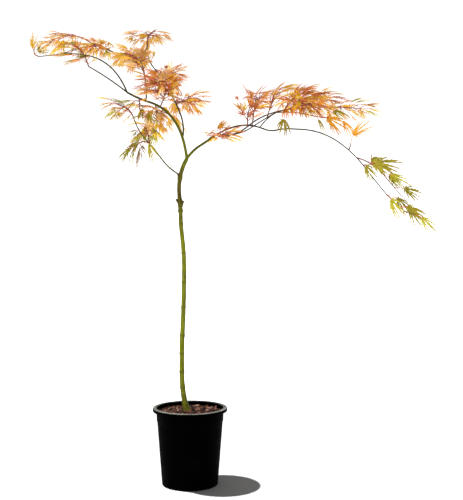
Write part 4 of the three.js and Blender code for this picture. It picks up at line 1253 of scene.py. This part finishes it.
# %% Bark group
bark_marks, ways, way_out = node_group(
    "bark_marks", "ShaderNodeTree", {"Streak Scale": "Float", "Speck Scale": "Float"},
    {"Patch": "Float", "Streak": "Float", "Speck": "Float", "Roughness": "Float",
     "Normal": "Vector"})
streak = grain(bark_marks, ways["Streak Scale"], 4.0, 0.5, stretch=(1.0, 1.0, 0.12))
place = add_node(bark_marks, "ShaderNodeTexCoord").outputs["Object"]
wide = add_node(bark_marks, "ShaderNodeMapping", {"Vector": place, "Scale": (0.7, 0.7, 1.5)})
speck = add_node(
    bark_marks, "ShaderNodeTexVoronoi", {"Vector": wide, "Scale": ways["Speck Scale"]})
patch = ramp(bark_marks, grain(bark_marks, 34.0, 4.0), 0.36, 0.64)
specks = maths(
    bark_marks, "MULTIPLY", ramp(bark_marks, speck.outputs["Distance"], 0.16, 0.3, 1.0, 0.0),
    ramp(bark_marks, patch, 0.3, 0.9))
height = maths(bark_marks, "ADD", streak, maths(bark_marks, "MULTIPLY", specks, 0.7))
fine_relief = maths(bark_marks, "MULTIPLY", grain(bark_marks, 900.0), 0.25)
feed(bark_marks, way_out, {
    "Patch": patch, "Streak": ramp(bark_marks, streak, 0.35, 0.65), "Speck": specks,
    "Roughness": between(bark_marks, streak, 0.42, 0.7),
    "Normal": bumped(bark_marks, maths(bark_marks, "ADD", height, fine_relief), 0.0009, 0.6)})


def bark_finish(name, young, young_dark, old, old_dark, fleck, sizes):
    """Young bark to old bark by the mesh's age, each with darker streaks, and pale specks."""
    material, tree = blank_material(name)
    marks = add_node(
        tree, "ShaderNodeGroup", zip(("Streak Scale", "Speck Scale"), sizes),
        node_tree=bark_marks).outputs
    age = ramp(tree, layer_value(tree, "age"), 0.0, 1.0)
    age = maths(tree, "ADD", age, maths(tree, "MULTIPLY", marks["Patch"], 0.22))
    age = maths(tree, "SUBTRACT", age, 0.1, clamp=True)
    colour = blend(
        tree, age, blend(tree, marks["Streak"], young, young_dark),
        blend(tree, marks["Streak"], old, old_dark))
    colour = tinge(tree, colour, marks["Speck"], 0.6, fleck)
    surface(tree, colour, marks["Roughness"], marks["Normal"], 0.12)
    return material


print("bark marks of", len(bark_marks.nodes), "nodes")

# %% Stem
TRUNK_AGE = [0.5, 0.14, 0.06, 0.04, 0.05, 0.1, 0.12, 0.1, 0.08, 0.08, 0.24, 0.86, 0.6, 0.0]
AGE_STEPS = 240  # close enough together to carry the brown band on each bud ring
STEM_SPACING, STEM_SIDES = 1.5, 32
FOOT_DROP = 3.0 / TRUNK["length"]  # the skin starts a little below the bark chips
# Cut stubs at the graft and the knot: height, heading, rise, length and radius.
STUBS = [
    (GRAFT - 16, -8, 72, 21.0, 3.6), (GRAFT - 9, 187, 60, 20.0, 2.9),
    (KNOT - 6, 180, 74, 17.0, 2.8),
]
STUB_AGE = [0.6, 0.9, 1.0]
STUB_SPACING, STUB_SIDES = 0.8, 14


def stem_age(share):
    """The age of the bark along the stem, with a brown band on each bud ring."""
    height = lerp(-FOOT_DROP, 1.0, share) * TRUNK["length"]
    band = sum(swell(height, ring, 2.6) for ring in BUD_RINGS)
    return min(1.0, value_along(TRUNK_AGE, share) + 0.5 * band)


stem_skin = limb_skin(
    paths["trunk"], trunk_radius, STEM_SPACING, STEM_SIDES, trunk_relief, start=-FOOT_DROP)
skins = [(*stem_skin, [stem_age(step / AGE_STEPS) for step in range(AGE_STEPS + 1)])]
for height, heading, rise, length, radius in STUBS:
    stub = GrowthPath(paths["trunk"].at(height / TRUNK["length"]), length, [heading], [rise], 4)
    stub_skin = limb_skin(
        stub, lambda t: radius * lerp(1.12, 1.0, t), STUB_SPACING, STUB_SIDES,
        lambda t, turn, place: bark_noise(place, 2.5, 0.3))
    skins.append((*stub_skin, STUB_AGE))
stem = skin_object("stem", skins)
stem_bark = bark_finish(
    "stem_bark", linear(116, 122, 11), linear(84, 91, 7), linear(88, 70, 24), linear(52, 34, 16),
    linear(168, 160, 84), (300.0, 190.0))
stem.data.materials.append(stem_bark)
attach(stem, "root")
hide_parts("trunk")
print("stem:", triangles(stem), "triangles")

# %% Boughs
BOUGH_SPACING, BOUGH_SIDES = 3.0, 14

skins = []
for name, spec in LIMBS.items():
    skin = limb_skin(paths[name], limb_radius(name), BOUGH_SPACING, BOUGH_SIDES, bough_relief)
    skins.append((*skin, spec["age"]))
boughs = skin_object("boughs", skins)
bough_bark = bark_finish(
    "bough_bark", linear(126, 128, 18), linear(96, 98, 12), linear(52, 36, 28), linear(30, 21, 18),
    linear(86, 68, 52), (240.0, 260.0))
boughs.data.materials.append(bough_bark)
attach(boughs, "root")
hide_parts(*LIMBS)
print("boughs:", triangles(boughs), "triangles")

# %% [markdown]
# ## Nursery pot
# The pot is a thin injection-moulded tub of near black polypropylene: a tapered wall, a slightly
# wider collar for the next pot to nest on, and a rolled rim. It is a turned shape, so its outline
# is spun round the axis. The floor with its drain holes isn't turned, so Fill Curve makes it from
# circles, and a thickness is given to it afterwards.

# %% Pot wall
POT_HEIGHT, RIM_RADIUS, RIM_FOOT = 195.0, 95.0, 186.0
COLLAR_RADIUS, COLLAR_FOOT, WAIST_RADIUS, FOOT_RADIUS = 86.0, 160.0, 83.6, 71.5
POT_WALL, POT_FLOOR = 1.5, 2.4
FLOOR_RADIUS = FOOT_RADIUS - 4.5
DRAIN_RADIUS, DRAIN_COUNT, DRAIN_RING, DRAIN_SIDES = 6.0, 6, 55.0, 24
POT_SIDES = 96


def ring(radius, height, sides):
    """A ring of points, in metres; height is a number, or a rule that gives it from x and y."""
    spots = [(radius * math.cos(turn), radius * math.sin(turn)) for turn in turns_round(sides)]
    return [(x * MM, y * MM, (height(x, y) if callable(height) else height) * MM)
            for x, y in spots]


def wall_radius(z):
    """The outer radius of the plain wall and the collar at height z."""
    if z <= COLLAR_FOOT:
        return lerp(FOOT_RADIUS, WAIST_RADIUS, (z - 3) / (COLLAR_FOOT - 3))
    up = (z - COLLAR_FOOT - 3) / (RIM_FOOT - COLLAR_FOOT - 3)
    return lerp(WAIST_RADIUS + 1.4, COLLAR_RADIUS, up)


def arc(centre_r, centre_z, radius, start, end, parts):
    """Points of an arc in the outline, angles in degrees from outwards to up."""
    turns = [math.radians(lerp(start, end, i / parts)) for i in range(parts + 1)]
    return [(centre_r + radius * math.cos(turn), centre_z + radius * math.sin(turn))
            for turn in turns]


outline = [(FLOOR_RADIUS, 0.0)]
outline += arc(FOOT_RADIUS - 2.2, 2.2, 2.2, -90, 0, 4)
outline += [(wall_radius(z), z) for z in (8, 30, 60, 90, 120, 145, COLLAR_FOOT - 1.5)]
outline += [(WAIST_RADIUS + 0.2, COLLAR_FOOT), (WAIST_RADIUS + 1.1, COLLAR_FOOT + 1.6)]
outline += [(wall_radius(z), z) for z in (COLLAR_FOOT + 3.4, 170, 178, RIM_FOOT - 1.4)]
outline += [(COLLAR_RADIUS + 1.2, RIM_FOOT), (RIM_RADIUS - 1.6, RIM_FOOT)]
outline += arc(RIM_RADIUS - 1.2, RIM_FOOT + 1.2, 1.2, -70, 0, 3)
outline += arc(RIM_RADIUS - 2.6, POT_HEIGHT - 2.6, 2.6, 0, 90, 6)
outline += [(RIM_RADIUS - 6, POT_HEIGHT - 0.3)]
outline += arc(COLLAR_RADIUS + 0.6, POT_HEIGHT - 1.8, 1.6, 90, 180, 3)
outline += [(wall_radius(z) - POT_WALL, z)
            for z in (185, 175, COLLAR_FOOT + 3.4, COLLAR_FOOT - 2, 100, 40, 6)]
outline += [(wall_radius(4) - POT_WALL - 0.6, POT_FLOOR), (FLOOR_RADIUS, POT_FLOOR)]
wall_points = [point for r, z in [*outline, outline[0]] for point in ring(r, z, POT_SIDES)]
pot = mesh_object("nursery_pot", wall_points, grid_faces(len(outline) + 1, POT_SIDES))
print("pot wall:", len(outline), "rings of", POT_SIDES)

# %% Pot floor
floor_group, ways, way_out = geometry_group("drained_floor", {
    "Radius": FLOOR_RADIUS * MM, "Hole Radius": DRAIN_RADIUS * MM, "Hole Ring": DRAIN_RING * MM,
    "Holes": DRAIN_COUNT, "Thickness": POT_FLOOR * MM})


def joined(*parts):
    node = add_node(floor_group, "GeometryNodeJoinGeometry")
    for part in parts:
        feed(floor_group, node, {"Geometry": part})
    return node


spots = add_node(floor_group, "GeometryNodeCurveToPoints", {
    "Curve": circle(floor_group, ways["Hole Ring"], ways["Holes"])}, mode="EVALUATED")
holes = add_node(floor_group, "GeometryNodeInstanceOnPoints", {
    "Points": spots, "Instance": circle(floor_group, ways["Hole Radius"], DRAIN_SIDES)})
lines = joined(circle(floor_group, ways["Radius"], POT_SIDES), holes)
real = add_node(floor_group, "GeometryNodeRealizeInstances", {"Geometry": lines})
plate = add_node(floor_group, "GeometryNodeFillCurve", {"Curve": real})
thick = add_node(floor_group, "GeometryNodeExtrudeMesh", {
    "Mesh": plate, "Offset Scale": ways["Thickness"], "Individual": False})
both = joined(thick, add_node(floor_group, "GeometryNodeFlipFaces", {"Mesh": plate}))
whole = add_node(
    floor_group, "GeometryNodeMergeByDistance", {"Geometry": both, "Distance": 0.01 * MM})
feed(floor_group, way_out, {"Geometry": whole})

pot_floor = mesh_object("pot_floor", [(0, 0, 0)])
kept_result(pot_floor, floor_group, {})
welded = bmesh.new()
welded.from_mesh(pot.data)
welded.from_mesh(pot_floor.data)
bmesh.ops.remove_doubles(welded, verts=welded.verts, dist=0.02 * MM)
welded.to_mesh(pot.data)
welded.free()
face_outward(pot)
bpy.data.objects.remove(pot_floor)
pot.data.polygons.foreach_set("use_smooth", [True] * len(pot.data.polygons))
print("pot:", triangles(pot), "triangles")

# %% [markdown]
# ## Pot finish
# Cheap black plastic is a very dark grey with a satin face. The mould leaves a fine grain, soil
# dust settles in it, and a painted highlight lightens the top of the rim, most of all at the front.

# %% Pot plastic
# Heights of the painted highlight along the top of the rim.
RIM_HIGHLIGHT = ((POT_HEIGHT - 1.4) * MM, (POT_HEIGHT - 0.1) * MM)  # heights where it starts and is full

pot_plastic, tree = blank_material("pot_plastic")
dust = ramp(tree, grain(tree, 22.0, 5.0, 0.65), 0.52, 0.74)
colour = tinge(tree, linear(0, 0, 0), dust, 0.3, linear(7, 7, 7))
place = add_node(tree, "ShaderNodeTexCoord").outputs["Object"]
parts = add_node(tree, "ShaderNodeSeparateXYZ", {"Vector": place}).outputs
# Painted highlight: the rim's top turns pale grey, broken by noise, and brightest at the front.
painted_rim_highlight = ramp(tree, parts["Z"], *RIM_HIGHLIGHT)
painted_rim_highlight = maths(tree, "MULTIPLY", painted_rim_highlight, ramp(tree, grain(tree, 60.0), 0.3, 0.6, 0.35, 0.8))
painted_rim_highlight = maths(tree, "MULTIPLY", painted_rim_highlight, ramp(tree, parts["Y"], -0.02, 0.06, 1.0, 0.25))
colour = blend(tree, painted_rim_highlight, colour, linear(176, 176, 168))
waves = maths(tree, "MULTIPLY", grain(tree, 14.0), 2.0)
relief = maths(tree, "ADD", grain(tree, 1500.0, 2.0), waves)
surface(tree, colour, between(tree, grain(tree, 80.0, 4.0), 0.55, 0.7),
        bumped(tree, relief, 0.0002, 0.4), 0.008)
pot.data.materials.append(pot_plastic)
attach(pot, "root")
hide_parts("pot")
print("pot finish of", len(tree.nodes), "nodes")

# %% [markdown]
# ## Potting mix and bark mulch
# The pot is filled to just under the rim with mix, and its top is mulched with bark chips: flat
# flakes a centimetre or two long, red brown with pinkish worn faces, at all angles. A few chips
# are carved in code, and Geometry Nodes scatters them over the surface, closer than they're wide,
# so that they overlap as a raked mulch does.

# %% Mix surface
MIX_EDGE, MIX_CROWN, MIX_SINK = 183.0, 186.0, 1.2
MIX_GAP = 0.4  # mm between the mix and the wall
MIX_FOOT = POT_FLOOR + 0.3
MIX_RADIUS = wall_radius(MIX_EDGE) - POT_WALL - MIX_GAP
MIX_ROWS, MIX_SIDES = 22, 72


def mix_level(r):
    """Height of the mix's even crown at a distance from the axis."""
    return lerp(MIX_CROWN, MIX_EDGE, min(r / MIX_RADIUS, 1.0))


def lump(x, y):
    return noise.noise(Vector((x, y, 0)) / 9) * 1.4 + noise.noise(Vector((x, y, 40)) / 26) * 1.2


mix_points = [(0.0, 0.0, MIX_CROWN * MM)]
for row in range(1, MIX_ROWS + 1):
    r = MIX_RADIUS * row / MIX_ROWS
    mix_points += ring(r, lambda x, y: mix_level(r) - MIX_SINK + lump(x, y), MIX_SIDES)
for z in (150.0, 60.0, MIX_FOOT):
    mix_points += ring(wall_radius(z) - POT_WALL - MIX_GAP, z, MIX_SIDES)
rows = MIX_ROWS + 3
foot_row = 1 + (rows - 1) * MIX_SIDES
mix_faces = [tuple(1 + i for i in face) for face in grid_faces(rows, MIX_SIDES)]
for first, middle in ((1, 0), (foot_row, len(mix_points))):
    mix_faces += [(middle, first + side, first + (side + 1) % MIX_SIDES)
                  for side in range(MIX_SIDES)]
mix_points.append((0.0, 0.0, MIX_FOOT * MM))
mix = mesh_object("potting_mix_body", mix_points, mix_faces)
face_outward(mix)
mix_dirt, tree = blank_material("mix_dirt")
patch = ramp(tree, grain(tree, 300.0, 5.0), 0.35, 0.7)
surface(tree, blend(tree, patch, linear(8, 5, 4), linear(36, 20, 14)),
        between(tree, grain(tree, 120.0), 0.8, 0.98),
        bumped(tree, grain(tree, 420.0, 6.0), 0.002, 0.9))
mix.data.materials.append(mix_dirt)
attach(mix, "root")
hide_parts("potting_mix")
print("mix:", triangles(mix), "triangles")

# %% Bark chips
CHIP_SHAPES, CHIP_CORNERS, CHIP_SEEDS = 8, 7, 300
CHIP_LAYERS = ((0.55, -0.10), (1.0, -0.04), (0.96, 0.05), (0.6, 0.11))  # share of reach, height


def chip_mesh(variant):
    """A flat flake of bark with broken ends, about one unit long."""
    draw = seeded(CHIP_SEEDS + variant)
    long, wide = draw(0.42, 0.5), draw(0.2, 0.34)
    ragged = [draw(0.72, 1.15) for _ in range(CHIP_CORNERS)]
    points = []
    for inset, z in CHIP_LAYERS:
        for turn, edge in zip(turns_round(CHIP_CORNERS), ragged):
            reach = edge * inset * draw(0.94, 1.06)
            points.append((long * reach * math.cos(turn), wide * reach * math.sin(turn),
                           z + 0.05 * math.sin(turn * 2 + variant) + draw(-0.015, 0.015)))
    faces = grid_faces(len(CHIP_LAYERS), CHIP_CORNERS)
    faces.append(tuple(reversed(range(CHIP_CORNERS))))
    faces.append(tuple(range(len(points) - CHIP_CORNERS, len(points))))
    return mesh_object(f"chip_{variant:02d}", points, faces, smooth=False)


chips = [chip_mesh(variant) for variant in range(CHIP_SHAPES)]
chip_shapes = hidden_shapes("chip_shapes", chips)
print(CHIP_SHAPES, "chips of", len(chips[0].data.polygons), "faces")

# %% Scatter the chips
CHIP_DENSITY = 60000.0  # more to a square metre than the spacing lets in

chip_group, ways, way_out = geometry_group("chip_scatter", {
    "Chips": "Collection", "Spacing": 4.8 * MM, "Smallest": 7.0 * MM, "Largest": 19.0 * MM,
    "Tilt": 0.7, "Seed": 6, "Finish": "Material"})


def random_value(low, high, seed, kind="FLOAT"):
    """A Random Value node's value, between two numbers or sockets."""
    first, last = {"FLOAT": (2, 1), "INT": (4, 2)}[kind]
    node = add_node(chip_group, "FunctionNodeRandomValue", {
        first: low, first + 1: high, "Seed": seed}, data_type=kind)
    return node.outputs[last]


scatter = add_node(chip_group, "GeometryNodeDistributePointsOnFaces", {
    "Mesh": ways["Geometry"], "Distance Min": ways["Spacing"], "Density Max": CHIP_DENSITY,
    "Seed": ways["Seed"]}, distribute_method="POISSON")
other_way = maths(chip_group, "MULTIPLY", ways["Tilt"], -1.0)
tilt = add_node(chip_group, "ShaderNodeCombineXYZ", {
    "X": random_value(other_way, ways["Tilt"], 11), "Y": random_value(other_way, ways["Tilt"], 12),
    "Z": random_value(0.0, 2 * math.pi, 13)})
laid = copies(
    chip_group, scatter, ways["Chips"], random_value(0, CHIP_SHAPES - 1, 14, "INT"),
    add_node(chip_group, "FunctionNodeEulerToRotation", {"Euler": tilt}),
    random_value(ways["Smallest"], ways["Largest"], 15))
toned = add_node(
    chip_group, "GeometryNodeStoreNamedAttribute",
    {"Geometry": laid, "Name": "chip_tone", "Value": random_value(0.0, 1.0, 16)},
    data_type="FLOAT", domain="INSTANCE")
end_group(chip_group, way_out, toned, ways["Finish"])
print("chip scatter of", len(chip_group.nodes), "nodes")

# %% Lay the chips
BED_ROWS, BED_SIDES = 8, 40
BED_INNER, BED_OUTER, BED_LIFT = 13.0, MIX_RADIUS - 6.5, 0.6

chip_bark, tree = blank_material("chip_bark")
tone = layer_value(tree, "chip_tone")
colour = blend(tree, ramp(tree, tone, 0.15, 0.8), linear(26, 13, 8), linear(122, 70, 46))
colour = blend(tree, ramp(tree, tone, 0.76, 1.0), colour, linear(208, 164, 142))
fibre = ramp(tree, grain(tree, 330.0, 4.0, stretch=(1, 0.35, 1)), 0.4, 0.66)
colour = tinge(tree, colour, fibre, 0.5, linear(58, 34, 28))
surface(tree, colour, between(tree, grain(tree, 160.0), 0.7, 0.95),
        bumped(tree, grain(tree, 520.0, 5.0), 0.001, 0.8), 0.25)

bed_points = []
for row in range(BED_ROWS + 1):
    r = lerp(BED_INNER, BED_OUTER, row / BED_ROWS)
    bed_points += ring(r, mix_level(r) + BED_LIFT, BED_SIDES)
mulch = mesh_object("bark_mulch", bed_points, grid_faces(BED_ROWS + 1, BED_SIDES))
kept_result(mulch, chip_group, {"Chips": chip_shapes, "Finish": chip_bark})
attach(mulch, "root")
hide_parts("potting_mix")
print("mulch:", triangles(mulch), "triangles")

# %% [markdown]
# ## Who lights what
# A slender plant under one hard light would throw a lattice of twigs across the floor. In a studio
# the stand-in for that is a second lamp aimed at the sweep alone. Light linking does it here: one
# sun lights the plant, and the other lights only the floor and is blocked only by the pot.

# %% Link the lights
potted = [pot, mix, mulch]
plant_things = collected("plant_things", [stem, boughs, stalks, twigs, *potted, *leaf_pieces])
floor_things = collected("floor_things", [floor])
plant_sun.light_linking.receiver_collection = plant_things
floor_sun.light_linking.receiver_collection = floor_things
floor_sun.light_linking.blocker_collection = collected("pot_things", potted)

# %% [markdown]
# ## Clearing up
# The shapes that were only there to be copied are removed.

# %% Clear up
for obj in [*blades, *chips]:
    bpy.data.objects.remove(obj)
for collection in (blade_shapes, chip_shapes):
    bpy.data.collections.remove(collection)
